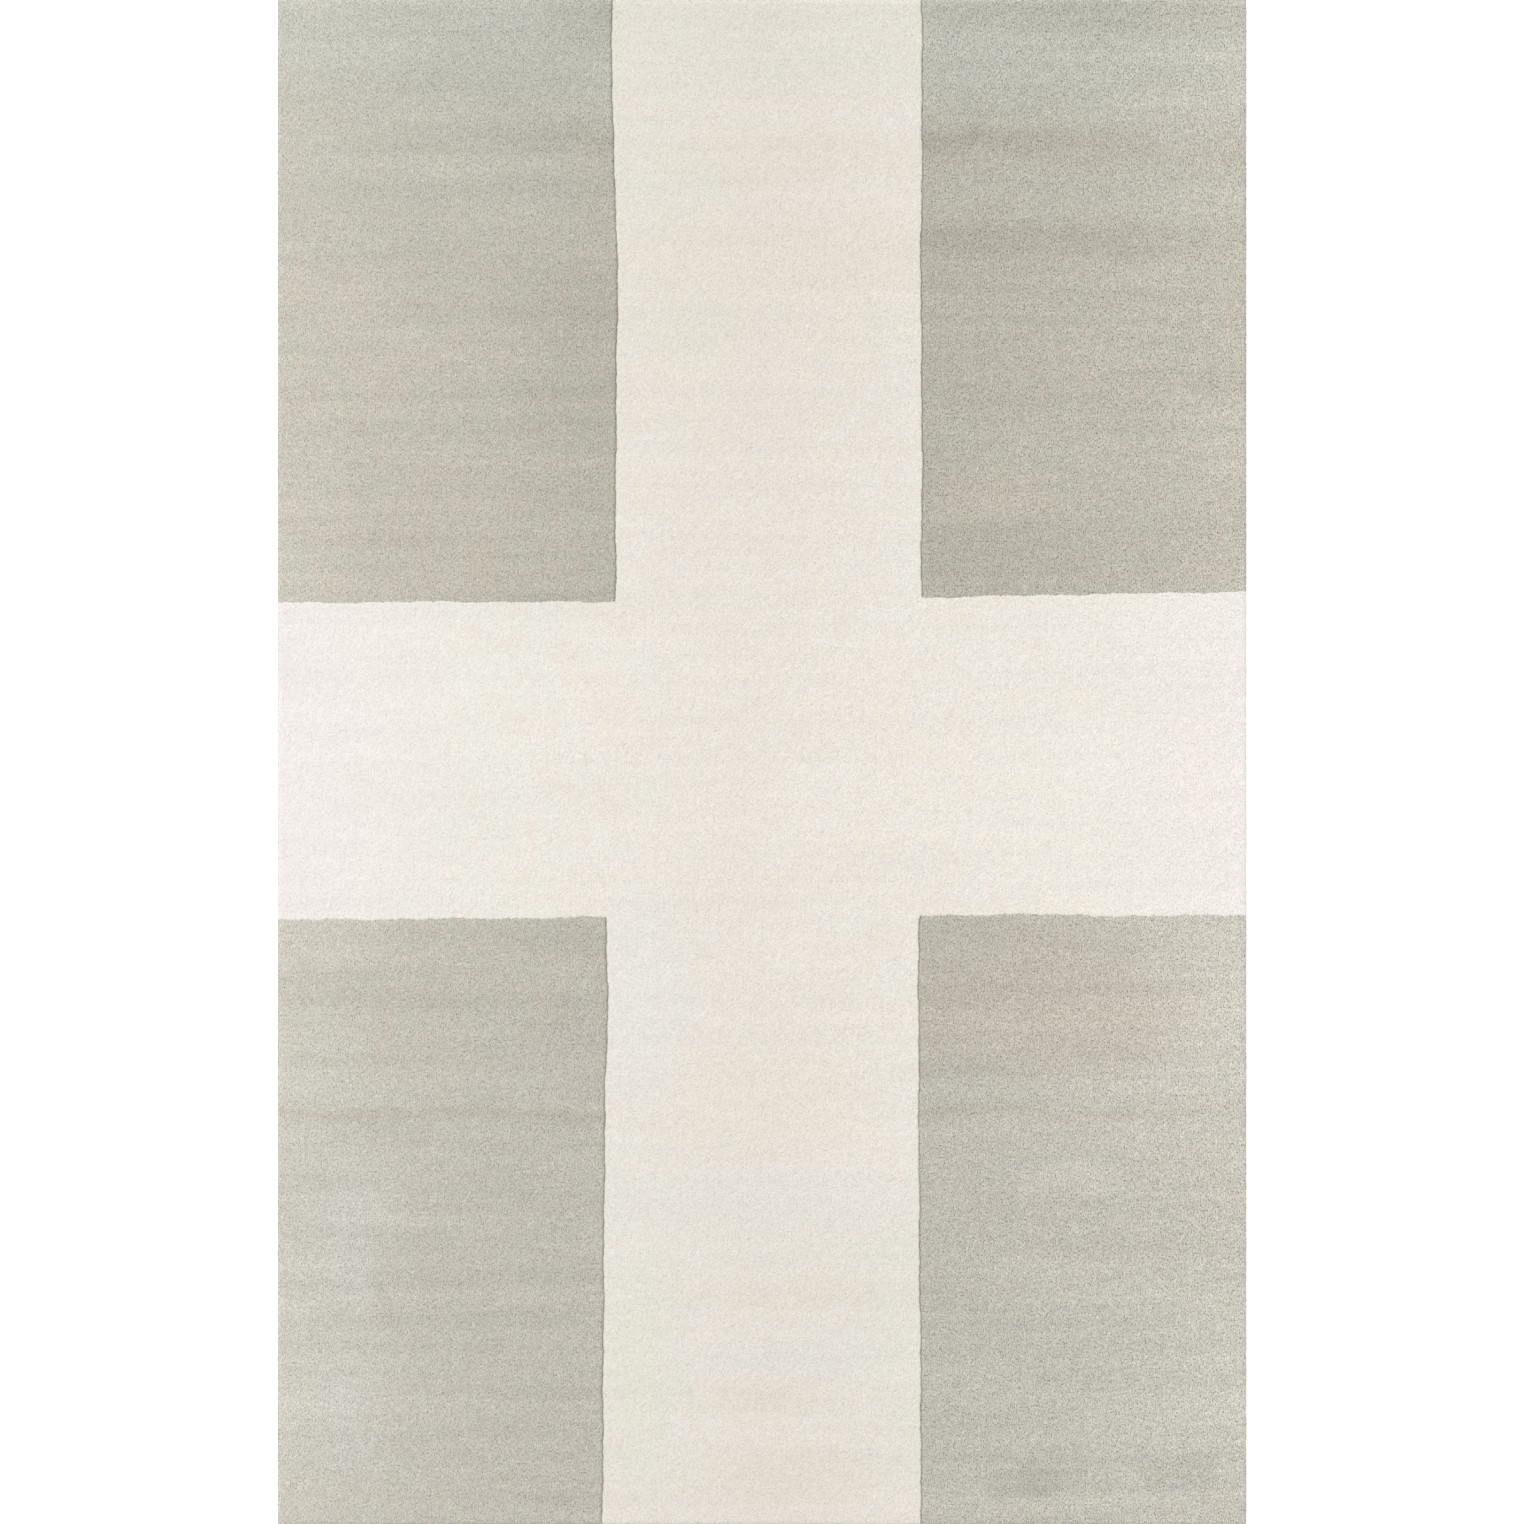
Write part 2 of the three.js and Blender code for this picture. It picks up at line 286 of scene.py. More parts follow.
def new_material(name):
    """A node material, its tree, its surface shader and the place that its patterns are laid by."""
    material = bpy.data.materials.new(name)
    material.use_nodes = True
    tree = material.node_tree
    tree.nodes.clear()
    shader = add_node(tree, "BsdfPrincipled")
    add_node(tree, "OutputMaterial", {"Surface": shader.outputs["BSDF"]})
    place = add_node(tree, "TexCoord").outputs["Object"]
    return material, tree, shader, place


def uneven(tree, place, layers):
    """Noise layers multiplied into one tone. Each layer is the size of its features along X, Y
    and Z in metres, how many octaves of detail it has, and how far it swings the tone."""
    tone = 1.0
    for size, detail, swing in layers:
        spot = add_node(tree, "Mapping", {
            "Vector": place, "Scale": tuple(1 / side for side in size),
        })
        noise = add_node(tree, "TexNoise", {
            "Vector": spot.outputs["Vector"], "Scale": 1.0, "Detail": detail, "Roughness": 0.55,
        })
        swung = add_node(tree, "MapRange", {
            "Value": noise.outputs["Fac"], "From Min": 0.3, "From Max": 0.7,
            "To Min": 1 - swing, "To Max": 1 + swing,
        })
        step = add_node(tree, "Math", {0: tone, 1: swung.outputs["Result"]},
                        operation="MULTIPLY")
        tone = step.outputs[0]
    return tone


def finish_surface(tree, shader, shade, tones, height, relief, roughness, gloss):
    """Gives the shader its colour, the shade times every tone, and roughness and bumps that follow
    the surface's height. relief is in metres, roughness is at the hollows and at the crests, and
    gloss holds what else the shader is set to."""
    for tone in tones:
        shade = add_node(tree, "Mix", {0: 1.0, 6: shade, 7: tone}, data_type="RGBA",
                         blend_type="MULTIPLY").outputs[2]
    tree.links.new(shade, shader.inputs["Base Color"])
    rough = add_node(tree, "MapRange", {
        "Value": height, "To Min": roughness[0], "To Max": roughness[1],
    })
    tree.links.new(rough.outputs["Result"], shader.inputs["Roughness"])
    bump = add_node(tree, "Bump", {"Height": height, "Distance": relief, "Strength": 0.6})
    tree.links.new(bump.outputs["Normal"], shader.inputs["Normal"])
    for socket, value in gloss.items():
        shader.inputs[socket].default_value = value


# The dyer's uneven baths. Each lot is where its skeins went, across and along the rug from its
# middle, how far it reaches each way, all in millimetres, its dye and how strongly it shows.
CREAM_LOTS = (
    (0, 1150, 900, 150, "green", 0.8), (40, 955, 420, 60, "warm", 0.9),
    (-150, 890, 140, 190, "green", 0.8), (60, 800, 420, 90, "warm", 0.9),
    (-140, 680, 130, 90, "green", 0.9), (160, 690, 100, 70, "green", 0.8),
    (0, 620, 420, 330, "warm", 0.35), (-190, -390, 110, 260, "patch", 0.9),
    (20, -545, 300, 130, "warm", 0.6), (0, -680, 380, 60, "blue", 0.6),
    (0, -770, 500, 60, "green", 0.3), (60, -842, 330, 42, "warm", 0.9),
    (60, -945, 260, 55, "blue", 0.8), (0, -1010, 170, 42, "warm", 0.9),
    (50, -1128, 280, 60, "warm", 1.0), (-190, -950, 110, 330, "green", 1.0),
    (230, -930, 90, 330, "green", 0.8), (-780, 0, 340, 600, "end", 0.7),
    (780, 0, 260, 600, "end", 0.6), (500, 0, 420, 500, "warm", 0.3),
    (0, -740, 420, 170, "blue", 0.25),
)
SAGE_LOTS = (
    (0, -850, 2400, 700, "blue", 0.26), (620, -500, 300, 36, "pale", 0.5),
    (470, -660, 140, 40, "pale", 0.7), (450, 700, 900, 800, "dark", 0.26),
    (0, 1150, 1500, 190, "cool", 1.0), (0, 981, 900, 30, "dark", 0.6),
    (450, 828, 500, 36, "dark", 0.45), (290, 340, 260, 90, "dark", 0.28),
    (-250, 560, 200, 420, "dark", 0.18), (-740, -760, 190, 560, "pale", 0.44),
    (-740, -760, 190, 560, "cool", 0.4), (760, -360, 360, 220, "pale", 0.65),
    (430, -390, 330, 160, "warm", 0.8), (560, -1010, 480, 90, "pale", 0.4),
    (500, -1010, 600, 260, "cool", 0.4), (430, -1131, 100, 45, "dark", 0.45),
    (690, -1120, 90, 40, "dark", 0.35), (360, 420, 130, 50, "warm", 0.8),
    (-424, 311, 90, 60, "warm", 0.8), (-560, -1010, 420, 70, "pale", 0.35),
    (0, -555, 3000, 10, "warm", 1.0), (0, -560, 3000, 16, "dark", 0.15),
    (640, -570, 400, 60, "pale", 0.45), (-700, -280, 190, 70, "pale", 0.5),
    (-650, -760, 80, 150, "blue", 0.6), (-655, -1040, 70, 130, "blue", 0.5),
    (-500, 950, 560, 180, "dark", 0.24), (-560, 930, 480, 190, "cool", 0.35),
    (-290, 1160, 110, 90, "dark", 0.2), (600, 1175, 460, 50, "dark", 0.28),
    (700, 1030, 240, 80, "blue", 0.2), (-740, 450, 110, 130, "pale", 0.35),
    (-330, -700, 170, 110, "pale", 0.25), (740, 520, 130, 90, "pale", 0.35),
    (-420, -850, 300, 330, "dark", 0.1), (560, 900, 420, 80, "dark", 0.12),
    (560, 900, 420, 80, "cool", 0.3), (-740, -700, 90, 70, "dark", 0.15),
)


def dyed(tree, place, sideways, dyes, lots, tints):
    """The wool's colour: patches a hand wide of a warmer and a cooler tint, and the lots on them.
    tints are where the cooler one starts, where it is full and how much it gains at the sides."""
    patch = add_node(tree, "TexNoise", {
        "Vector": place, "Scale": 1 / (42 * MM), "Detail": 4.0, "Roughness": 0.6,
    })
    rows = add_node(tree, "Mapping", {
        "Vector": place, "Scale": (1 / (650 * MM), 1 / (24 * MM), 0.0),
    })
    row = add_node(tree, "TexNoise", {
        "Vector": rows.outputs["Vector"], "Scale": 1.0, "Detail": 4.0, "Roughness": 0.6,
    })
    mottle = add_node(tree, "Mix", {0: 0.35, 2: patch.outputs["Fac"], 3: row.outputs["Fac"]})
    cooler = add_node(tree, "Math", {0: sideways, 1: tints[2], 2: mottle.outputs[0]},
                      operation="MULTIPLY_ADD")
    cooler = add_node(tree, "MapRange", {
        "Value": cooler.outputs[0], "From Min": tints[0], "From Max": tints[1],
    })
    shade = add_node(tree, "Mix", {
        0: cooler.outputs["Result"], 6: dyes["base"], 7: dyes["patch"],
    }, data_type="RGBA").outputs[2]

    # The lots' own edges wander.
    drift = add_node(tree, "TexNoise", {
        "Vector": place, "Scale": 1 / (90 * MM), "Detail": 5.0, "Roughness": 0.6,
    })
    drift = add_node(tree, "VectorMath", {0: drift.outputs["Color"], 1: (0.5, 0.5, 0.5)},
                     operation="SUBTRACT")
    strayed = add_node(tree, "VectorMath", {
        0: drift.outputs["Vector"], 1: (260 * MM, 70 * MM, 0.0), 2: place,
    }, operation="MULTIPLY_ADD")
    for x, y, wide, long, dye, strength in lots:
        spot = add_node(tree, "Mapping", {
            "Vector": strayed.outputs["Vector"], "Location": (-x / wide, -y / long, 0.0),
            "Scale": (1 / (wide * MM), 1 / (long * MM), 0.0),
        })
        fade = add_node(tree, "TexGradient", {"Vector": spot.outputs["Vector"]},
                        gradient_type="SPHERICAL")
        fade = add_node(tree, "MapRange", {
            "Value": fade.outputs["Fac"], "From Max": 0.7, "To Max": strength,
        }, interpolation_type="SMOOTHSTEP")
        shade = add_node(tree, "Mix", {0: fade.outputs["Result"], 6: shade, 7: dyes[dye]},
                         data_type="RGBA").outputs[2]
    return shade


def tufted(tree, place, grain):
    """The cut tufts' tone, with painted shade in the gaps between them, and their height. grain is
    how strongly they show.
    """
    # One cell to a tuft. The cut ends are 1.4 mm wide and lean 2.8 mm along the nap, each a little
    # lighter or darker. Fibres, drawn several times as coarse as real, fray the cells' edges.
    tufts = add_node(tree, "Mapping", {
        "Vector": place, "Scale": (1 / (1.4 * MM), 1 / (2.8 * MM), 1 / (6 * MM)),
    })
    fuzz = add_node(tree, "TexNoise", {
        "Vector": tufts.outputs["Vector"], "Scale": 2.6, "Detail": 2.0, "Roughness": 0.6,
    })
    frayed = add_node(tree, "VectorMath", {
        0: fuzz.outputs["Color"], 1: (0.9, 0.9, 0.0), 2: tufts.outputs["Vector"],
    }, operation="MULTIPLY_ADD")
    cell = add_node(tree, "TexVoronoi", {
        "Vector": frayed.outputs["Vector"], "Scale": 1.0, "Randomness": 1.0,
    }, voronoi_dimensions="2D")
    own = add_node(tree, "SeparateColor", {"Color": cell.outputs["Color"]})
    dome = add_node(tree, "MapRange", {
        "Value": cell.outputs["Distance"], "From Max": 0.85, "To Min": 1.0, "To Max": 0.0,
    })
    # Painted shade: the tone darkens in the gaps between the tufts.
    gap_shade = add_node(tree, "MapRange", {
        "Value": dome.outputs["Result"], "From Max": 0.55, "To Min": 1 - 0.47 * grain,
        "To Max": 1 + 0.06 * grain,
    })
    turn = add_node(tree, "MapRange", {
        "Value": own.outputs["Red"], "To Min": 1 - 0.09 * grain, "To Max": 1 + 0.09 * grain,
    })
    tone = uneven(tree, place, (
        ((0.7 * MM, 1.9 * MM, 6 * MM), 2, 0.27 * grain),
        ((2.2 * MM, 14 * MM, 9 * MM), 1, 0.04 * grain),  # combed strokes: painted light and shade
        ((14 * MM, 3.5 * MM, 20 * MM), 2, 0.04 * grain),  # rows of stitches
    ))
    for part in (gap_shade, turn):
        tone = add_node(tree, "Math", {0: tone, 1: part.outputs["Result"]},
                        operation="MULTIPLY").outputs[0]
    height = add_node(tree, "Math", {
        0: fuzz.outputs["Fac"], 1: 0.9, 2: dome.outputs["Result"],
    }, operation="MULTIPLY_ADD")
    return tone, height.outputs[0]


def cut_wool(name, dyes, lots, grain, spread, tints, bend, outwards, endwards):
    """Sheared wool yarn, hand-tufted. The eye sees the cut ends as a fine matte grain with painted
    shade in the gaps between the tufts, short strokes along the nap in painted light and shade, a
    soft sheen, and the slow bands and clouds that hand-dyed lots leave from row to row.

    spread is how far the skeins differ. outwards and endwards are the tones at the rug's middle
    and at its sides and its ends, and bend is how late they change on the way."""
    material, tree, shader, place = new_material(name)
    axes = add_node(tree, "SeparateXYZ", {"Vector": place}).outputs
    shares = []
    for axis, reach in (("X", HALF_WIDTH), ("Y", HALF_LENGTH)):
        share = add_node(tree, "Math", {0: axes[axis], 1: reach}, operation="DIVIDE")
        share = add_node(tree, "Math", {0: share.outputs[0]}, operation="ABSOLUTE")
        share = add_node(tree, "Math", {0: share.outputs[0], 1: bend}, operation="POWER")
        shares.append(share.outputs[0])
    shade = dyed(tree, place, shares[0], dyes, lots, tints)
    tone, height = tufted(tree, place, grain)

    # The grain shows more strongly towards the right.
    crisp = add_node(tree, "MapRange", {
        "Value": axes["X"], "From Min": -HALF_WIDTH, "From Max": HALF_WIDTH, "To Min": 0.84,
        "To Max": 1.15,
    })
    tone = add_node(tree, "Mix", {0: crisp.outputs["Result"], 2: 1.0, 3: tone},
                    clamp_factor=False).outputs[0]
    skeins = uneven(tree, place, (
        ((90 * MM, 14 * MM, 40 * MM), 3, 0.02 * spread),
        ((700 * MM, 30 * MM, 90 * MM), 4, 0.045 * spread),
        ((330 * MM, 160 * MM, 90 * MM), 3, 0.03 * spread),
    ))
    # Light fades between the tufts on the way down to the cloth.
    depth = add_node(tree, "MapRange", {
        "Value": axes["Z"], "From Min": PILE_BASE, "From Max": PILE_TOP,
    })
    shadow = add_node(tree, "ValToRGB", {"Fac": depth.outputs["Result"]},
                      stops=((0.0, 0.45), (0.55, 0.68), (0.80, 0.94), (0.9, 1.0)))
    falls = [add_node(tree, "MapRange", {
        "Value": share, "To Min": low, "To Max": high,
    }).outputs["Result"] for share, (low, high) in zip(shares, (outwards, endwards))]
    tones = (tone, skeins, shadow.outputs["Color"], *falls)
    finish_surface(tree, shader, shade, tones, height, 0.5 * MM, (1.0, 0.88), {
        "Specular IOR Level": 0.12, "Sheen Weight": 0.12, "Sheen Roughness": 0.6,
    })
    return material


def plain_weave(name, shade, thread):
    """Plain-woven cotton. The eye sees a small chequer of raised threads with slubs, painted shade in
    the hollows between them, and a dry, matte surface."""
    material, tree, shader, place = new_material(name)
    # Warp and weft repeat every two threads. A wave's own unit is a twentieth of a turn.
    warp, weft = (add_node(tree, "TexWave", {
        "Vector": place, "Scale": math.tau / 20 / (2 * thread), "Distortion": 0.0,
    }, bands_direction=axis).outputs["Fac"] for axis in "XY")
    over = add_node(tree, "Math", {0: warp, 1: weft}, operation="SUBTRACT")
    crown = add_node(tree, "Math", {0: over.outputs[0]}, operation="ABSOLUTE")
    # Painted shade: the tone darkens where the weave's crown is low, in its hollows.
    valley_shade = add_node(tree, "MapRange", {
        "Value": crown.outputs[0], "To Min": 0.80, "To Max": 1.04,
    })
    tone = uneven(tree, place, (
        ((thread * 16, thread * 1.1, thread * 3), 2, 0.08),  # slubs in the weft
        ((thread * 1.1, thread * 22, thread * 3), 2, 0.06),
        ((180 * MM, 140 * MM, 40 * MM), 3, 0.03),
    ))
    tones = (tone, valley_shade.outputs["Result"])
    finish_surface(tree, shader, (*shade, 1), tones, crown.outputs[0], 0.3 * MM, (0.98, 0.86),
                   {"Specular IOR Level": 0.2})
    return material


def ribbed(name, shade, axis, wave, crest, layers, relief, roughness, gloss):
    """A material with ribs across an axis. crest is the painted shade in their hollows and the
    painted light on them.
    """
    material, tree, shader, place = new_material(name)
    ribs = add_node(tree, "TexWave", {"Vector": place, **wave}, bands_direction=axis).outputs["Fac"]
    # Painted shade and light: the tone darkens in the ribs' hollows and lightens on them.
    lit = add_node(tree, "MapRange", {"Value": ribs, "To Min": crest[0], "To Max": crest[1]})
    tones = (uneven(tree, place, layers), lit.outputs["Result"])
    finish_surface(tree, shader, (*shade, 1), tones, ribs, relief, roughness, gloss)
    return material


def twill_weave(name, shade, rib):
    """Cotton twill tape. The eye sees slanting ribs, painted a little brighter on their crests, that
    cross the tape at 45 degrees."""
    wave = {"Scale": math.tau / 10 / (rib * math.sqrt(2)), "Distortion": 0.8, "Detail": 2.0,
            "Detail Scale": 2.0}
    layers = ((rib * 0.5, rib * 0.5, rib), 2, 0.06), ((40 * MM, 40 * MM, 20 * MM), 4, 0.04)
    return ribbed(name, shade, "DIAGONAL", wave, (0.78, 1.05), layers, 0.3 * MM, (0.95, 0.8),
                  {"Specular IOR Level": 0.25})


def spun_thread(name, shade):
    """Spun polyester sewing thread. The eye sees its slanting twist and a soft lustre."""
    # The plies turn once in 0.9 mm, with painted shade in the hollows of the twist.
    wave = {"Scale": math.tau / 10 / (0.9 * MM), "Distortion": 0.5}
    return ribbed(name, shade, "DIAGONAL", wave, (0.8, 1.05),
                  (((5 * MM, 5 * MM, 5 * MM), 3, 0.05),), 0.1 * MM, (0.7, 0.5), {"Sheen Weight": 0.2})


def satin_label(name, shade):
    """Woven satin ribbon. The eye sees very fine bright threads across the label and a gentle
    gloss. It carries no marks."""
    # Threads 0.4 mm apart, drawn three times as coarse as real so that they show.
    wave = {"Scale": math.tau / 20 / (0.4 * MM), "Distortion": 1.0}
    layers = ((12 * MM, 0.5 * MM, 3 * MM), 2, 0.04), ((20 * MM, 20 * MM, 20 * MM), 2, 0.02)
    return ribbed(name, shade, "Y", wave, (1, 1), layers, 0.08 * MM, (0.5, 0.36),
                  {"Sheen Weight": 0.2})


def dried_latex(name, shade):
    """Natural latex, spread with a blade and dried. The eye sees a creamy, rubbery skin with
    faint blade marks and pinholes."""
    material, tree, shader, place = new_material(name)
    pores = add_node(tree, "TexVoronoi", {"Vector": place, "Scale": 1 / (6 * MM)})
    film = add_node(tree, "MapRange", {"Value": pores.outputs["Distance"], "From Max": 0.3})
    tone = uneven(tree, place, (
        ((240 * MM, 6 * MM, 20 * MM), 4, 0.06),
        ((2.5 * MM, 2.5 * MM, 2.5 * MM), 3, 0.04),
    ))
    finish_surface(tree, shader, (*shade, 1), (tone,), film.outputs["Result"], 0.2 * MM,
                   (0.7, 0.5), {})
    return material


# ---------------------------------------------------------------- the pile

# Distances from the rim or from a carved line at which the lattice has its first, closer lines.
CLOSE_LINES = np.array([0, 1.0, 2.4]) * MM
CORNER_REACH = 12 * MM  # how far a carved corner's rounding is felt
CORNER_SHIFT = 2.0 * MM  # how far the corner itself is cut back
# How far the hand strays on the lines along the rug and on those across it, where the nap also
# closes over the cut, and how far each single tuft beside the line does.
HAND_STRAY = (1.1 * MM, 1.4 * MM)
TUFT_STRAY = (0.2 * MM, 0.5 * MM)
HAND_WAVES = ((230, 0.55), (97, 0.5), (41, 0.35), (17, 0.25), (7.3, 0.15))  # length in mm, share
CREAM_LEAN = 2.2  # how many times as steep a carved line's cream side is as its sage side
SWELL_ROOM = 0.35 * MM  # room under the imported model's top for the pile's slow swells
# The swells along and across the rug: height, wave length, and how far and how often they bend.
SWELLS = ((0.25 * MM, 0.31, 1.3, 0.9), (0.20 * MM, 0.23, 2.1, 0.7))
RIM_SHEARED = 5 * MM  # how far in from the rim the shears round the pile over
CLOSE_CALM = 4 * MM  # how near a carved line the tufts stray less


def carved_edge(field, along):
    """A corner field's carved edge at the cloth, as places along the axis and across it."""
    points = np.array([v.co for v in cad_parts[f"sage_pile_{field}"].data.vertices])
    points = points[points[:, 2] < PILE_BASE + 0.1 * MM]
    across = 1 - along
    near = np.abs(points[:, across]) < np.abs(points[:, across]).min() + 25 * MM
    clear = np.abs(points[:, along]) > np.abs(points[:, along]).min() + 12 * MM
    return points[near & clear][:, (along, across)]


def carved_line(fields, along):
    """A function that gives a carved line's place across the rug from the place along it. The
    line runs on between the two fields that share it."""
    points = np.concatenate([carved_edge(field, along) for field in fields])
    points = points[np.argsort(points[:, 0])]
    return lambda place: np.interp(place, points[:, 0], points[:, 1])


def hand_wobble(place, phase, reach):
    """The waver of a hand-guided cut: a few waves of unrelated lengths."""
    return reach * sum(share * np.sin(math.tau * place / (size * MM) + phase * (k + 1.7))
                       for k, (size, share) in enumerate(HAND_WAVES))


def lattice_lines(marks, spacing):
    """Places of the lattice's lines: one on each mark, closer ones beside it, even ones between."""
    lines = [np.array(marks[:1])]
    for low, high in zip(marks[:-1], marks[1:]):
        start, stop = low + CLOSE_LINES[-1], high - CLOSE_LINES[-1]
        even = np.linspace(start, stop, round((stop - start) / spacing) + 1)
        lines += [low + CLOSE_LINES[1:-1], even, high - CLOSE_LINES[-2::-1]]
    return np.concatenate(lines)


def pile_lattice(pile):
    """Every point of the rug's pile surface, and the lattice lines that its fields meet on."""
    random = np.random.default_rng(pile.seed)
    lines_x = [carved_line((f"front_{side}", f"back_{side}"), 1) for side in ("left", "right")]
    lines_y = [carved_line((f"{end}_left", f"{end}_right"), 0) for end in ("front", "back")]
    marks_x = [-HALF_WIDTH, *[float(line(0)) for line in lines_x], HALF_WIDTH]
    marks_y = [-HALF_LENGTH, *[float(line(0)) for line in lines_y], HALF_LENGTH]
    across, along = (lattice_lines(marks, pile.tuft_spacing) for marks in (marks_x, marks_y))
    cut_x = np.searchsorted(across, np.array(marks_x) - 1e-6)
    cut_y = np.searchsorted(along, np.array(marks_y) - 1e-6)

    # The lattice bends with the carved lines, so that each line lies on a row of points.
    wavy_x = [line(along) + hand_wobble(along, k, HAND_STRAY[0])
              + random.normal(0, TUFT_STRAY[0], len(along)) for k, line in enumerate(lines_x)]
    wavy_y = [line(across) + hand_wobble(across, k + 5, HAND_STRAY[1])
              + random.normal(0, TUFT_STRAY[1], len(across)) for k, line in enumerate(lines_y)]
    x = np.stack([np.interp(across, marks_x, [-HALF_WIDTH, a, b, HALF_WIDTH])
                  for a, b in zip(*wavy_x)], 1)
    y = np.stack([np.interp(along, marks_y, [-HALF_LENGTH, a, b, HALF_LENGTH])
                  for a, b in zip(*wavy_y)], 0)

    # Each field's inner corner is cut round: the lattice shifts out of it.
    for i, side_x in ((cut_x[1], -1), (cut_x[2], 1)):
        for j, side_y in ((cut_y[1], -1), (cut_y[2], 1)):
            near = np.hypot(x - x[i, j], y - y[i, j]) / CORNER_REACH
            shift = CORNER_SHIFT * np.clip(1 - near, 0, 1) ** 2
            x, y = x + side_x * shift, y + side_y * shift

    # Tufts stand in a diagonal lattice: every second point is a tip, the others are gaps.
    shape = x.shape
    i, j = np.indices(shape)
    tip = ((i + j) % 2 == 0).astype(float)
    unequal = random.normal(0, 1, shape)
    along_nap = (unequal + np.roll(unequal, 1, 1) + np.roll(unequal, 2, 1)) / 3
    room = np.minimum(np.gradient(across)[:, None], np.gradient(along)[None, :]) / pile.tuft_spacing
    z = PILE_TOP - SWELL_ROOM - pile.tuft_relief * (0.5 + (0.5 - tip) * room)
    z += pile.tuft_unevenness * (0.75 * unequal + 0.9 * along_nap) * room
    for (size, wave, bend, bend_wave), (one, other) in zip(SWELLS, ((y, x), (x, y))):
        z += size * np.sin(math.tau * one / wave + bend * np.sin(math.tau * other / bend_wave))

    # Carved lines: deep and open along the rug, almost closed by the nap across it.
    at_x, at_y = across[:, None], along[None, :]
    beyond_arms = (at_y >= along[cut_y[2]]) | (at_y <= along[cut_y[1]])
    beyond_upright = (at_x <= across[cut_x[1]]) | (at_x >= across[cut_x[2]])
    for k in (1, 2):
        far = (at_x - across[cut_x[k]]) * (1 if k == 2 else -1)
        far = np.where(far > 0, far, -CREAM_LEAN * far) / pile.carve_width
        z -= pile.carve_depth * np.clip(1 - far, 0, 1) * beyond_arms
        far = np.abs(at_y - along[cut_y[k]]) / pile.carve_width
        z -= pile.closed_depth * np.clip(1 - far, 0, 1) * beyond_upright

    # The shears round the rim.
    rim = np.minimum(HALF_WIDTH - np.abs(at_x), HALF_LENGTH - np.abs(at_y))
    z -= pile.rim_round * np.clip(1 - rim / RIM_SHEARED, 0, 1) ** 2

    free = np.ones(shape)
    free[[0, -1], :] = 0
    free[:, [0, -1]] = 0
    from_x, from_y = (np.minimum.reduce([np.abs(at - lines[k]) for k in cut[1:3]])
                      for at, lines, cut in ((at_x, across, cut_x), (at_y, along, cut_y)))
    still = np.clip(np.minimum(from_x, from_y) / CLOSE_CALM, 0.35, 1)
    x = x + free * still * random.uniform(-1, 1, shape) * pile.tuft_jitter
    y = y + free * still * random.uniform(-1, 1, shape) * pile.tuft_jitter - free * tip * pile.nap_lean
    return np.stack([x, y, z], -1), cut_x, cut_y


def lattice_normals(lattice):
    """The way the pile's surface faces at every point of the lattice."""
    normals = np.cross(np.gradient(lattice, axis=0), np.gradient(lattice, axis=1))
    return normals / np.linalg.norm(normals, axis=-1, keepdims=True)


def rim_out(i, j, shape):
    """Which way a lattice point faces at the rug's rim; zero inside it."""
    out_x = (i == shape[0] - 1) * 1.0 - (i == 0) * 1.0
    out_y = (j == shape[1] - 1) * 1.0 - (j == 0) * 1.0
    return np.stack([out_x, out_y], -1)


# The pile's side, from its top edge to the cloth: the share of the way down, and how far out.
SIDE_STEPS = ((0.18, 0.9 * MM), (0.45, 1.2 * MM), (0.75, 0.6 * MM), (1.0, -0.6 * MM))


def pile_mesh(name, lattice, span_x, span_y, random):
    """A closed block of pile over one span of the lattice."""
    (i0, i1), (j0, j1) = span_x, span_y
    top = lattice[i0:i1 + 1, j0:j1 + 1]
    wide, deep = top.shape[:2]
    number = np.arange(wide * deep).reshape(wide, deep)
    quads = [grid_quads(number)]

    # The outline, counter-clockwise from above.
    i = np.concatenate([np.arange(wide - 1), np.full(deep - 1, wide - 1),
                        np.arange(wide - 1, 0, -1), np.zeros(deep - 1, int)])
    j = np.concatenate([np.zeros(wide - 1, int), np.arange(deep - 1),
                        np.full(wide - 1, deep - 1), np.arange(deep - 1, 0, -1)])
    edge, count = top[i, j], len(i)
    away = np.stack([(i == wide - 1) * 1.0 - (i == 0), (j == deep - 1) * 1.0 - (j == 0)], -1)
    out = rim_out(i + i0, j + j0, lattice.shape)

    upper, points, flat = number[i, j], [top.reshape(-1, 3)], [top.reshape(-1, 3)[:, :2]]
    for step, (share, stand) in enumerate(SIDE_STEPS):
        level = edge.copy()
        level[:, :2] += out * (stand + 0.35 * MM * random.uniform(-1, 1, (count, 1)))
        level[:, 2] += share * (PILE_BASE - edge[:, 2])
        lower = wide * deep + step * count + np.arange(count)
        quads.append(np.stack([upper, lower, np.roll(lower, -1), np.roll(upper, -1)], -1))
        points.append(level)
        flat.append(edge[:, :2] + away * share * 12 * MM)
        upper = lower

    # The flat map is the top with its sides folded out, and the underside tiny in a corner.
    quads_on_top = quads[0].size
    quads, flat = np.concatenate(quads), fitted(np.concatenate(flat))
    under = flat[upper[::-1]] * 0.01
    mesh = build_mesh(name, np.concatenate(points), quads, [upper[::-1]],
                      np.concatenate([flat[quads].reshape(-1, 2), under]))
    crease(mesh, number[i, j])
    # Neighbouring blocks face the same way where they meet, so that no seam shows.
    facing = np.zeros((len(mesh.loops), 3))
    facing[:quads_on_top] = lattice_normals(lattice)[i0:i1 + 1, j0:j1 + 1].reshape(-1, 3)[
        quads[:quads_on_top // 4].ravel()]
    mesh.normals_split_custom_set(facing)
    return mesh


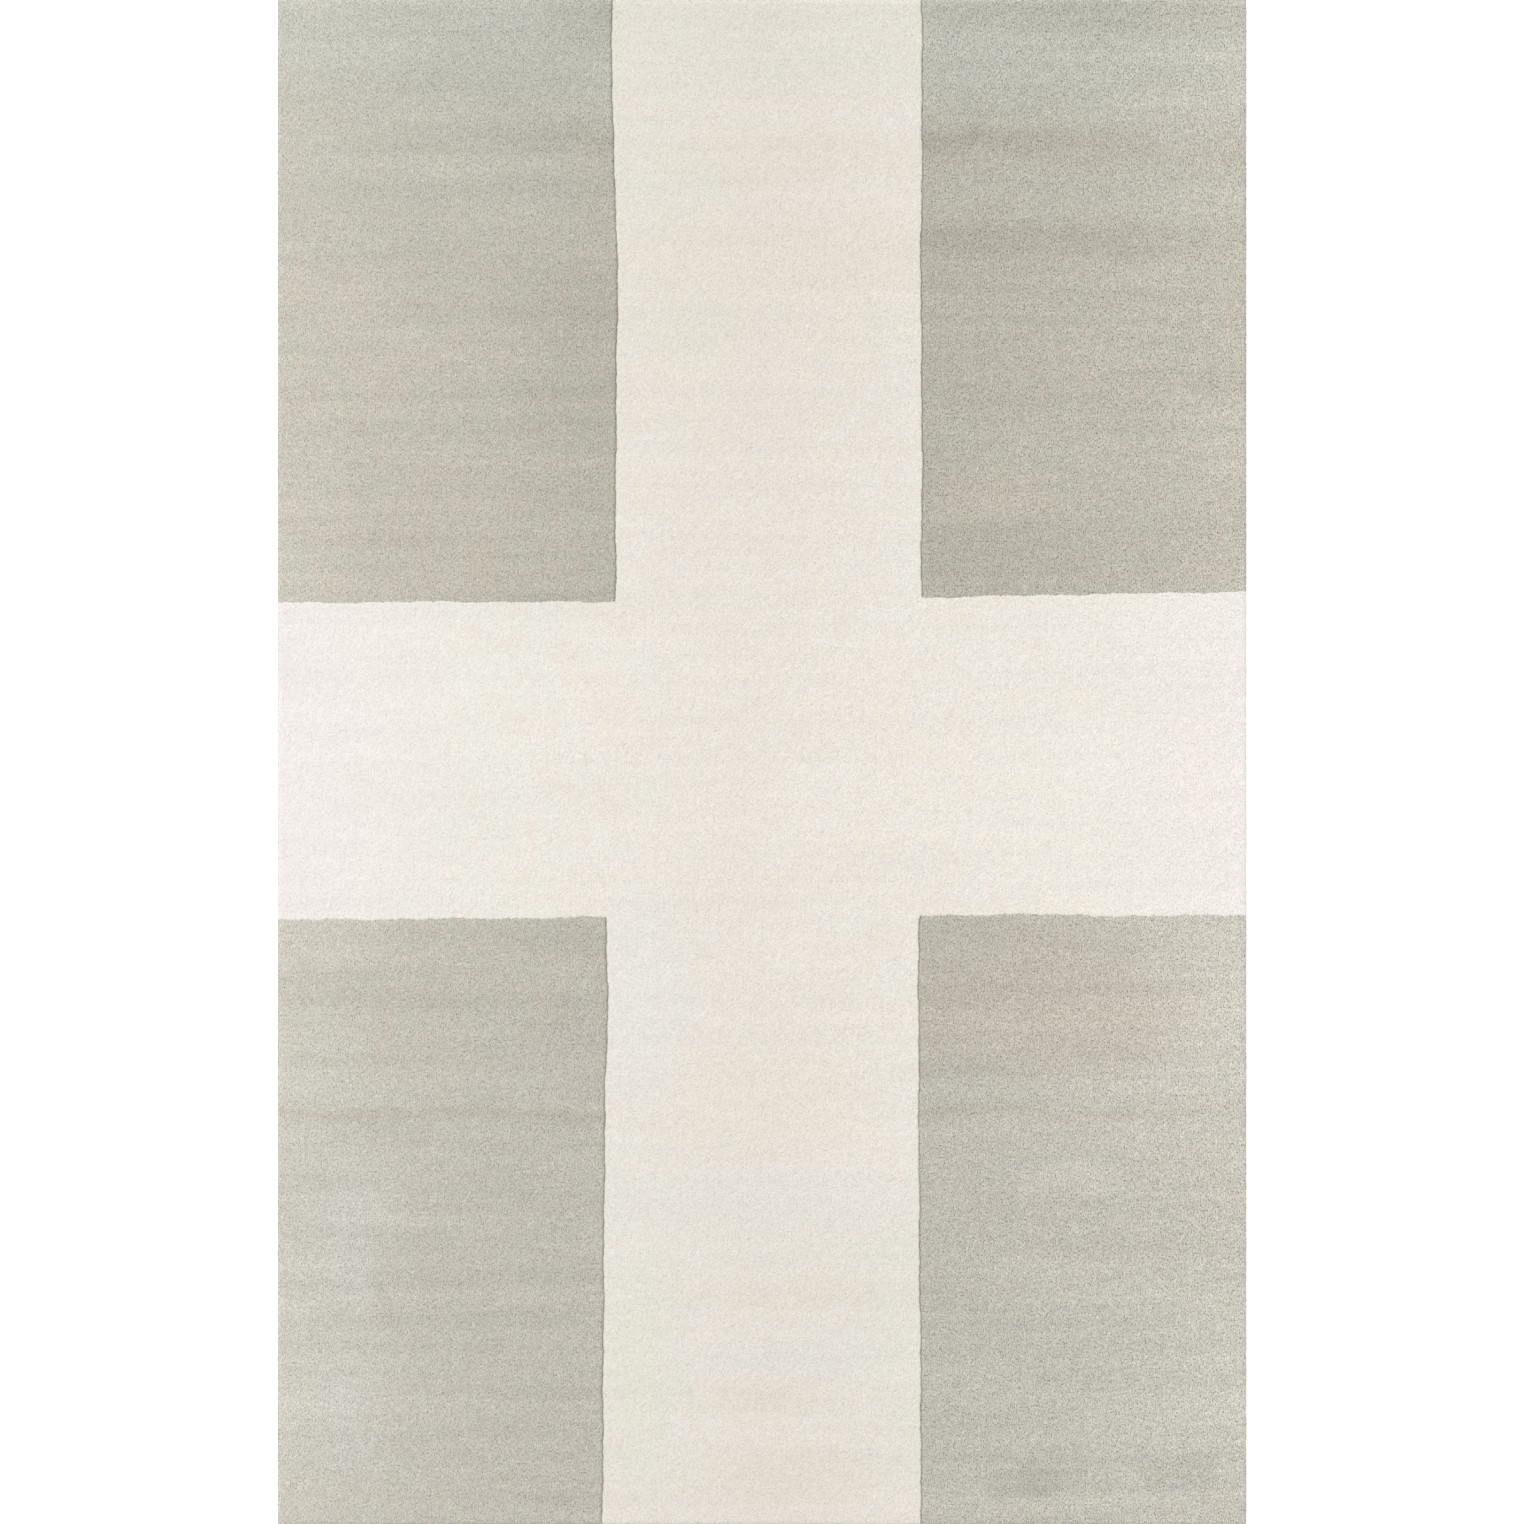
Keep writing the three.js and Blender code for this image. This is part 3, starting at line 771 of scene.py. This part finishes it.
def rim_strands(name, lattice, span_x, span_y, pile, random):
    """A row of separate cut tufts along the parts of a field's outline that lie on the rug's rim.
    They splay outwards and sway, each by its own amount."""
    starts = []
    for axis, span, other in ((0, span_x, span_y), (1, span_y, span_x)):
        last = lattice.shape[1 - axis] - 1
        for end in (0, last):
            if end not in other:
                continue
            line = (lattice if axis == 0 else lattice.swapaxes(0, 1))[span[0]:span[1] + 1, end]
            low, high = line[0, axis], line[-1, axis]
            count = round((high - low) / pile.strand_pitch)
            along = low + (np.arange(count) + 0.5) / count * (high - low)
            place = np.zeros((count, 2))
            place[:, axis] = along + 0.25 * pile.strand_pitch * random.uniform(-1, 1, count)
            place[:, 1 - axis] = np.interp(along, line[:, axis], line[:, 1 - axis])
            out = np.zeros((count, 2))
            out[:, 1 - axis] = 1 if end else -1
            starts.append((place, out))
    for i in (0, lattice.shape[0] - 1):
        for j in (0, lattice.shape[1] - 1):
            if i in span_x and j in span_y:
                out = np.array([[1 if i else -1, 1 if j else -1]]) / math.sqrt(2)
                starts.append((lattice[i, j][None, :2], out))
    place, out = (np.concatenate(part) for part in zip(*starts))
    count = len(place)
    side = np.stack([-out[:, 1], out[:, 0]], -1)
    # Up a strand: the share of its height, and its radius there as a share of the full one.
    share = np.array([0, 0.3, 0.62, 0.88, 1.0])
    swell = np.array([0.8, 1.0, 1.08, 0.95, 0.55])
    splay = random.uniform(0.4, 1.9, (count, 1)) * MM
    sway = random.uniform(-1.1, 1.1, (count, 1)) * MM
    root = PILE_BASE + random.uniform(0.15, 0.45, (count, 1)) * MM
    height = (PILE_TOP - pile.rim_round - root) * random.uniform(0.86, 1.02, (count, 1))
    centres = np.zeros((count, len(share), 3))
    centres[:, :, :2] = (place[:, None] - 0.9 * MM * out[:, None]
                         + out[:, None] * (splay * share ** 1.5)[:, :, None]
                         + side[:, None] * (sway * share ** 2)[:, :, None])
    centres[:, :, 2] = root + height * share
    radius = pile.strand_radius * random.uniform(0.85, 1.15, (count, 1)) * swell
    wide, high = np.zeros_like(centres), np.zeros_like(centres)
    wide[:, :, :2] = out[:, None] * radius[:, :, None]
    high[:, :, :2] = side[:, None] * radius[:, :, None]
    return tubes_mesh(name, centres, wide, high, 6)


# ---------------------------------------------------------------- cloth, tape and thread

def outline(inset, height, steps):
    """Points round the rug's outline, moved inwards, counter-clockwise from the front left."""
    half = np.array([HALF_WIDTH, HALF_LENGTH]) - inset
    share_x, share_y = (np.arange(count) / count * 2 - 1 for count in steps)
    front = np.stack([share_x, np.full_like(share_x, -1)], -1)
    right = np.stack([np.full_like(share_y, 1), share_y], -1)
    ring = np.concatenate([front, right, -front, -right]) * half
    return np.column_stack([ring, np.full(len(ring), height)])


def folded_cloth(name, thickness, hem, low, high, setback, random):
    """A sheet of cloth whose edge is turned under all round: the sheet's top, the fold, the hem,
    and back along the inner side to the sheet's underside."""
    outer = (high - low) / 2
    centre, middle = setback + outer, (high + low) / 2
    arc = np.radians([90, 60, 30, 0, -30, -60, -90])
    profile = [(14 * MM, high), (8 * MM, high)]
    profile += [(centre - outer * math.cos(a), middle + outer * math.sin(a)) for a in arc]
    profile += [(setback + share * hem, low) for share in (0.3, 0.65, 0.98)]
    profile += [(setback + hem, low + thickness / 2)]
    profile += [(setback + share * hem, low + thickness) for share in (0.98, 0.65, 0.3)]
    inner = outer - thickness
    profile += [(centre - inner * math.cos(a), middle + inner * math.sin(a)) for a in arc[::-1]]
    profile += [(8 * MM, high - thickness), (14 * MM, high - thickness)]
    steps = (100, 160)
    count = 2 * sum(steps)
    ease = np.convolve(random.normal(0, 1, count + 6), np.ones(7) / 7, "valid")[:count]
    points, flat, run = [], [], profile[0][0]
    for k, (inset, level) in enumerate(profile):
        ring = outline(inset, level, steps)
        slack = 0.5 * MM if 3 <= k <= len(profile) - 4 else 0
        ring[:, :2] *= 1 - slack * ease[:, None] / HALF_WIDTH
        if k:
            run -= math.dist(profile[k - 1], profile[k])
        points.append(ring)
        flat.append(outline(run, 0, steps)[:, :2])
    points, flat = np.concatenate(points), fitted(np.concatenate(flat))
    quads = tube_quads(len(profile), count)[:, ::-1]
    top, under = np.arange(count), np.arange(count)[::-1] + (len(profile) - 1) * count
    uv = np.concatenate([flat[quads].reshape(-1, 2), flat[top], flat[under] * 0.01])
    return build_mesh(name, points, quads, [top, under], uv)


def slab_mesh(name, low, high, cells, wave, random):
    """A closed slab between two corners whose two faces ripple a little inside its thickness."""
    (x0, y0, z0), (x1, y1, z1) = low, high
    across, along = np.linspace(x0, x1, cells[0] + 1), np.linspace(y0, y1, cells[1] + 1)
    x, y = np.meshgrid(across, along, indexing="ij")
    ripple = wave * random.uniform(0, 1, (2, *x.shape))
    edge = (x == x0) | (x == x1) | (y == y0) | (y == y1)
    ripple[:, edge] += 0.2 * (z1 - z0)
    top = np.stack([x, y, z1 - ripple[0]], -1).reshape(-1, 3)
    under = np.stack([x, y, z0 + ripple[1]], -1).reshape(-1, 3)
    number = np.arange(x.size).reshape(x.shape)
    quads = grid_quads(number)
    ring = np.concatenate([number[:-1, 0], number[-1, :-1], number[:0:-1, -1], number[0, :0:-1]])
    sides = np.stack([ring, ring + x.size, np.roll(ring, -1) + x.size, np.roll(ring, -1)], -1)
    faces = np.concatenate([quads, quads[:, ::-1] + x.size, sides])
    # The flat map: the top on the left, the underside beside it, the sides folded out a little.
    size = np.array([x1 - x0, y1 - y0])
    unit = 0.94 / max(2 * size[0], size[1])
    base = (np.concatenate([top, under])[:, :2] - (x0, y0)) * unit + 0.015
    uv = base[faces]
    uv[len(quads):2 * len(quads), :, 0] += size[0] * unit + 0.02
    lip = np.sign(base[ring] - base[ring].mean(0)) * 0.008
    uv[2 * len(quads):, 1] += lip
    uv[2 * len(quads):, 2] += np.roll(lip, -1, 0)
    mesh = build_mesh(name, np.concatenate([top, under]), faces, (), uv.reshape(-1, 2))
    crease(mesh, ring)
    crease(mesh, ring + x.size)
    return mesh


def edge_frame(edge, node):
    """How a strip along one edge of the underside lies: its turn, its origin at the middle of its
    outer side, its length and its width."""
    low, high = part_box(node)
    middle, size = (low + high) / 2, high - low
    turn = {"front": 0, "right": 1, "back": 2, "left": 3}[edge] * math.pi / 2
    long, wide = (size.x, size.y) if edge in ("front", "back") else (size.y, size.x)
    outwards = np.array([math.sin(turn), -math.cos(turn), 0])
    return turn, np.array([middle.x, middle.y, 0]) + outwards * wide / 2, long, wide


def turned(points, turn, origin):
    """Points of a strip's own frame, brought to its place under the rug."""
    c, s = math.cos(turn), math.sin(turn)
    return np.asarray(points) @ np.array([[c, s, 0], [-s, c, 0], [0, 0, 1]]) + origin


def stitch_inset(edge, row):
    """How far a row of stitches lies from its tape's outer side."""
    tape = edge_frame(edge, f"binding_tape_{edge}")
    thread = edge_frame(edge, f"tape_stitch_{row}_{edge}")
    outwards = np.array([math.sin(tape[0]), -math.cos(tape[0]), 0])
    return float((tape[1] - thread[1]) @ outwards) + thread[3] / 2


# Beside each row of stitching, where the tape's section has its points.
DENT_STEPS = (-1.1, -0.45, 0, 0.45, 1.1)
MITRE_REACH = 0.27 * MM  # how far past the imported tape's end its mitre runs, to meet the next tape


def tape_mesh(name, edge, stitch):
    """A strip of tape with mitred ends and soft selvedges, drawn in along its rows of stitching."""
    turn, origin, long, wide = edge_frame(edge, f"binding_tape_{edge}")
    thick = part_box(f"binding_tape_{edge}")[1].z
    rows = [stitch_inset(edge, row) for row in ("outer", "inner")]
    dent = [row + side * MM for row in rows for side in DENT_STEPS]
    plain = [0, 0.5 * MM, 12 * MM, 21 * MM, 30 * MM, wide - 0.5 * MM, wide]
    across = np.array(sorted([*plain, *dent]))
    count = round(long / (stitch / 3))
    share = np.linspace(-1, 1, count + 1)[:, None]
    x = share * (long / 2 - across + MITRE_REACH)
    hollow = np.zeros_like(x)
    for row in rows:
        near = np.clip(1 - np.abs(across - row) / (1.0 * MM), 0, 1)
        hollow += near * (0.34 - 0.10 * np.cos(math.tau * x / stitch)) * MM
    selvedge = (across <= 0) | (across >= wide)
    under = np.where(selvedge, 0.2 * MM, hollow)
    over = np.where(selvedge, thick - 0.2 * MM, thick) + 0 * x
    y = across + 0 * x
    ring = np.concatenate([np.stack([x, y, under], -1), np.stack([x, y, over], -1)[:, ::-1]], 1)
    rings, sides = ring.shape[:2]
    quads = tube_quads(rings, sides)
    ends = [np.arange(sides)[::-1], np.arange(sides) + (rings - 1) * sides]
    points = ring.reshape(-1, 3)
    caps = points[np.concatenate(ends)][:, 1:] / (wide, thick) * 0.01
    uv = np.concatenate([unrolled(rings, sides).reshape(-1, 2) * 0.96 + 0.02, caps])
    return build_mesh(name, turned(points, turn, origin), quads, ends, uv)


def stitched_run(starts, ends, stitch, radius, high, low):
    """Rings of thread for straight runs of lockstitch, four to a stitch: the thread shows between
    its holes and dips into the cloth at each. Returns centres and half axes for tubes_mesh."""
    starts, ends = np.asarray(starts, float), np.asarray(ends, float)
    spans = np.linalg.norm(ends - starts, axis=1)
    rings = round(spans.max() / stitch) * 4 + 1
    share = np.linspace(0, 1, rings)[None, :, None]
    centres = starts[:, None] * (1 - share) + ends[:, None] * share
    phase = np.abs(np.sin(math.pi * share[:, :, 0] * np.round(spans / stitch)[:, None]))
    centres[:, :, 2] = high + (low - high) * phase ** 0.6
    direction = (ends - starts) / spans[:, None]
    across = np.stack([-direction[:, 1], direction[:, 0], np.zeros(len(starts))], -1)
    squeeze = radius * (0.75 + 0.25 * phase)[:, :, None]
    wide = across[:, None] * squeeze
    upright = np.zeros_like(centres)
    upright[:, :, 2] = squeeze[:, :, 0] * 0.42
    return centres, wide, upright


# ---------------------------------------------------------------- operators

def field_span(cut_x, cut_y, field):
    """The span of lattice lines that a corner field covers."""
    back, left = field.startswith("back"), field.endswith("left")
    span_x = (cut_x[0], cut_x[1]) if left else (cut_x[2], cut_x[3])
    span_y = (cut_y[2], cut_y[3]) if back else (cut_y[0], cut_y[1])
    return span_x, span_y


def dye_shades(pile, wool, dyes):
    """The colours of a wool's base and of its other dyes."""
    return {dye: (*getattr(pile, f"{wool}_{dye}"), 1) for dye in ("base", "patch", *dyes)}


def lay_field(wool, part, node, lattice, spans, pile, material, random):
    """Lays one block of the pile and, unless it is the middle, the tufts along its rim."""
    name = f"{wool}_tufts_{part}"
    mesh = pile_mesh(name, lattice, *spans, random)
    add_piece(name, mesh, material, f"{wool}_pile", node)
    if part != "middle":
        name = f"{wool}_rim_{part}"
        mesh = rim_strands(name, lattice, *spans, pile, random)
        add_piece(name, mesh, material, f"{wool}_pile", node)


class RUG_OT_sage_pile(Operator):
    """Build the four sage corner fields and the tufts along their rim"""

    bl_idname = "rug.sage_pile"
    bl_label = "Sage Pile"

    def execute(self, context):
        pile = context.scene.rug_pile
        lattice, cut_x, cut_y = pile_lattice(pile)
        random = np.random.default_rng(pile.seed + 1)
        dyes = dye_shades(pile, "sage", ("warm", "cool", "dark", "pale", "blue"))
        wool = cut_wool("sage_cut_wool", dyes, SAGE_LOTS, grain=1.05, spread=1.0,
                        tints=(0.45, 0.65, 0.0), bend=2.0, outwards=(0.95, 1.12), endwards=(1.0, 1.0))
        for field in FIELDS:
            spans = field_span(cut_x, cut_y, field)
            lay_field("sage", field, f"sage_pile_{field}", lattice, spans, pile, wool, random)
        return {"FINISHED"}


class RUG_OT_cream_pile(Operator):
    """Build the cream cross: its middle, its four arms and the tufts at their ends"""

    bl_idname = "rug.cream_pile"
    bl_label = "Cream Pile"

    def execute(self, context):
        pile = context.scene.rug_pile
        lattice, cut_x, cut_y = pile_lattice(pile)
        random = np.random.default_rng(pile.seed + 2)
        dyes = dye_shades(pile, "cream", ("warm", "green", "blue", "end"))
        wool = cut_wool("cream_cut_wool", dyes, CREAM_LOTS, grain=0.44, spread=0.4,
                        tints=(0.55, 0.63, 0.25), bend=1.0, outwards=(1.0, 1.085),
                        endwards=(1.0, 0.935))
        parts = {"middle": (1, 1), "back": (1, 2), "front": (1, 0), "left": (0, 1), "right": (2, 1)}
        for part, (k, m) in parts.items():
            spans = (cut_x[k], cut_x[k + 1]), (cut_y[m], cut_y[m + 1])
            lay_field("cream", part, "cream_cross_pile", lattice, spans, pile, wool, random)
        return {"FINISHED"}


class RUG_OT_tufting_cloth(Operator):
    """Build the tufting cloth with its edge turned under"""

    bl_idname = "rug.tufting_cloth"
    bl_label = "Tufting Cloth"

    def execute(self, context):
        backing = context.scene.rug_backing
        low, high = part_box("tufting_cloth")
        random = np.random.default_rng(11)
        mesh = folded_cloth("hemmed_cloth", backing.cloth_thickness, backing.hem_depth, low.z,
                            high.z, HALF_WIDTH - high.x, random)
        cotton = plain_weave("undyed_cotton_cloth", backing.cotton, 1.2 * MM)
        cloth = add_piece("hemmed_cloth", mesh, cotton, "tufting_cloth", "tufting_cloth")
        return {"FINISHED"}


class RUG_OT_latex_and_scrim(Operator):
    """Build the latex coat and the open scrim that is laid in it"""

    bl_idname = "rug.latex_and_scrim"
    bl_label = "Latex and Scrim"

    def execute(self, context):
        backing = context.scene.rug_backing
        random = np.random.default_rng(12)
        low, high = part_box("latex_coat")
        inset = 1.5 * MM  # clear of the hem's fold
        low, high = np.array(low) + (inset, inset, 0), np.array(high) - (inset, inset, 0)
        mesh = slab_mesh("latex_skin", low, high, cells=(76, 120), wave=0.12 * MM, random=random)
        latex = dried_latex("dried_latex", backing.latex)
        add_piece("latex_skin", mesh, latex, "latex", "latex_coat")

        low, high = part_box("scrim_gauze")
        half = np.array([high.x, high.y]) - inset
        yarns = []
        for axis in (0, 1):
            other = 1 - axis
            count = round(2 * half[other] / backing.scrim_pitch)
            share = (np.arange(count) + 0.5) / count * 2 - 1
            centres = np.zeros((count, 2, 3))
            centres[:, :, other] = (share * half[other])[:, None]
            centres[:, :, axis] = (-half[axis], half[axis])
            centres[:, :, 2] = low.z + (high.z - low.z) * (0.3 + 0.4 * axis)
            wide, upright = np.zeros_like(centres), np.zeros_like(centres)
            wide[:, :, other] = backing.scrim_yarn / math.sqrt(2) * (2 * axis - 1)
            upright[:, :, 2] = 0.1 * MM
            yarns.append((centres, wide, upright))
        parts = [np.concatenate(part) for part in zip(*yarns)]
        mesh = tubes_mesh("scrim_yarns", *parts, 4)
        gauze = plain_weave("scrim_gauze_yarn", backing.cotton, 0.8 * MM)
        piece = add_piece("scrim_yarns", mesh, gauze, "scrim", "scrim_gauze")
        return {"FINISHED"}


class RUG_OT_canvas_backing(Operator):
    """Build the canvas that is glued over the back"""

    bl_idname = "rug.canvas_backing"
    bl_label = "Canvas Backing"

    def execute(self, context):
        backing = context.scene.rug_backing
        low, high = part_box("canvas_backing")
        mesh = slab_mesh("canvas_sheet", low, high, cells=(73, 117), wave=0.15 * MM,
                         random=np.random.default_rng(13))
        canvas = plain_weave("unbleached_cotton_canvas", backing.canvas, backing.canvas_thread)
        piece = add_piece("canvas_sheet", mesh, canvas, "canvas", "canvas_backing")
        return {"FINISHED"}


class RUG_OT_binding_tapes(Operator):
    """Build the twill tape along each edge of the underside"""

    bl_idname = "rug.binding_tapes"
    bl_label = "Binding Tapes"

    def execute(self, context):
        backing = context.scene.rug_backing
        twill = twill_weave("cotton_twill_tape", backing.tape, backing.twill_rib)
        for edge in EDGES:
            name = f"twill_tape_{edge}"
            mesh = tape_mesh(name, edge, backing.stitch_length)
            piece = add_piece(name, mesh, twill, "binding_tape", f"binding_tape_{edge}")
        return {"FINISHED"}


class RUG_OT_tape_stitches(Operator):
    """Build the two rows of lockstitch in each tape"""

    bl_idname = "rug.tape_stitches"
    bl_label = "Tape Stitches"

    def execute(self, context):
        backing = context.scene.rug_backing
        thread = spun_thread("spun_polyester_thread", backing.thread)
        for edge in EDGES:
            for row in ("outer", "inner"):
                node = f"tape_stitch_{row}_{edge}"
                turn, origin, long, wide = edge_frame(edge, node)
                half, middle = long / 2, wide / 2
                ends = turned([(-half, middle, 0), (half, middle, 0)], turn, origin)
                run = stitched_run(ends[:1], ends[1:], backing.stitch_length,
                                   backing.thread_radius, high=0.5 * MM, low=0.19 * MM)
                name = f"lockstitch_{row}_{edge}"
                add_piece(name, tubes_mesh(name, *run, 6), thread, "sewing_thread", node)
        return {"FINISHED"}


class RUG_OT_care_label(Operator):
    """Build the blank care label and its stitching"""

    bl_idname = "rug.care_label"
    bl_label = "Care Label"

    def execute(self, context):
        backing = context.scene.rug_backing
        low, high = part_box("care_label")
        mesh = slab_mesh("woven_label", low, high, cells=(12, 18), wave=0.03 * MM,
                         random=np.random.default_rng(14))
        satin = satin_label("woven_satin_label", backing.label)
        label = add_piece("woven_label", mesh, satin, "care_label", "care_label")
        seam_low, seam_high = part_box("label_stitch")
        x0, y0, x1, y1 = seam_low.x, seam_low.y, seam_high.x, seam_high.y
        corners = [(x0, y0, 0), (x1, y0, 0), (x1, y1, 0), (x0, y1, 0)]
        run = stitched_run(corners, corners[1:] + corners[:1], backing.stitch_length / 2,
                           backing.thread_radius * 0.8, high=low.z + 0.05 * MM,
                           low=low.z - 0.12 * MM)
        seam = add_piece("label_seam", tubes_mesh("label_seam", *run, 6),
                         bpy.data.materials["spun_polyester_thread"], "sewing_thread",
                         "label_stitch")
        return {"FINISHED"}


class RUG_OT_stage(Operator):
    """Lay the floor and set the lights and the camera"""

    bl_idname = "rug.stage"
    bl_label = "Stage"

    def execute(self, context):
        scene, stage = context.scene, context.scene.rug_stage
        half = stage.floor_size / 2
        corners = [(-half, -half, 0), (half, -half, 0), (half, half, 0), (-half, half, 0)]
        mesh = build_mesh("floor", np.array(corners) - (0, 0, 0.3 * MM), [(0, 1, 2, 3)])
        material, _, shader, _ = new_material("matte_white_floor")
        shader.inputs["Base Color"].default_value = (*stage.floor, 1)
        shader.inputs["Roughness"].default_value = 0.9
        shader.inputs["Specular IOR Level"].default_value = 0.1
        # The floor glows a little, so that it stays white beside the rug.
        shader.inputs["Emission Color"].default_value = (1, 1, 1, 1)
        shader.inputs["Emission Strength"].default_value = 0.35
        mesh.materials.append(material)
        add_object("floor", mesh)

        # The studio's walls are as white as its floor, and its ceiling is a little dimmer.
        world = bpy.data.worlds.new("white_studio")
        world.use_nodes = True
        room, background = world.node_tree, world.node_tree.nodes["Background"]
        way = add_node(room, "TexCoord").outputs["Generated"]
        rise = add_node(room, "SeparateXYZ", {"Vector": way}).outputs["Z"]
        glow = add_node(room, "MapRange", {
            "Value": rise, "From Min": 0.2, "From Max": 0.45, "To Min": stage.walls,
            "To Max": stage.ceiling,
        })
        background.inputs["Color"].default_value = (1, 1, 1, 1)
        room.links.new(glow.outputs["Result"], background.inputs["Strength"])
        scene.world = world
        light = bpy.data.lights.new("soft_sun", "SUN")
        light.energy = stage.sun
        light.angle = stage.sun_angle
        sun = add_object("soft_sun", light)
        sun.rotation_euler = (math.radians(-28), math.radians(-22), 0)

        lens = bpy.data.cameras.new("overhead")
        lens.lens = stage.lens
        camera = add_object("overhead", lens)
        camera.location = (0, 0, PILE_TOP + 2 * HALF_LENGTH * stage.lens / lens.sensor_width)
        scene.camera = camera
        scene.view_settings.view_transform = "Standard"
        return {"FINISHED"}


STEPS = (RUG_OT_stage, RUG_OT_sage_pile, RUG_OT_cream_pile, RUG_OT_canvas_backing,
         RUG_OT_latex_and_scrim, RUG_OT_tufting_cloth, RUG_OT_binding_tapes,
         RUG_OT_tape_stitches, RUG_OT_care_label)


class RUG_PT_panel(Panel):
    """The rug's pieces, with their sizes and colours"""

    bl_idname = "RUG_PT_panel"
    bl_label = "Hand-Tufted Rug"
    bl_space_type = "VIEW_3D"
    bl_region_type = "UI"
    bl_category = "Rug"

    def draw(self, context):
        column = self.layout.column()
        for step in STEPS:
            column.operator(step.bl_idname)
        for name, group in GROUPS.items():
            box = self.layout.box()
            for setting in group.__annotations__:
                box.prop(getattr(context.scene, name), setting)


GROUPS = {"rug_pile": RugPile, "rug_backing": RugBacking, "rug_stage": RugStage}
CLASSES = (*GROUPS.values(), *STEPS, RUG_PT_panel)


def register():
    for cls in CLASSES:
        bpy.utils.register_class(cls)
    for name, group in GROUPS.items():
        setattr(bpy.types.Scene, name, PointerProperty(type=group))


def unregister():
    for name in GROUPS:
        delattr(bpy.types.Scene, name)
    for cls in reversed(CLASSES):
        bpy.utils.unregister_class(cls)


def main():
    register()
    bpy.ops.rug.stage()
    bpy.ops.rug.sage_pile()
    bpy.ops.rug.cream_pile()
    bpy.ops.rug.canvas_backing()
    bpy.ops.rug.latex_and_scrim()
    bpy.ops.rug.tufting_cloth()
    bpy.ops.rug.binding_tapes()
    bpy.ops.rug.tape_stitches()
    bpy.ops.rug.care_label()


if __name__ == "__main__":
    main()
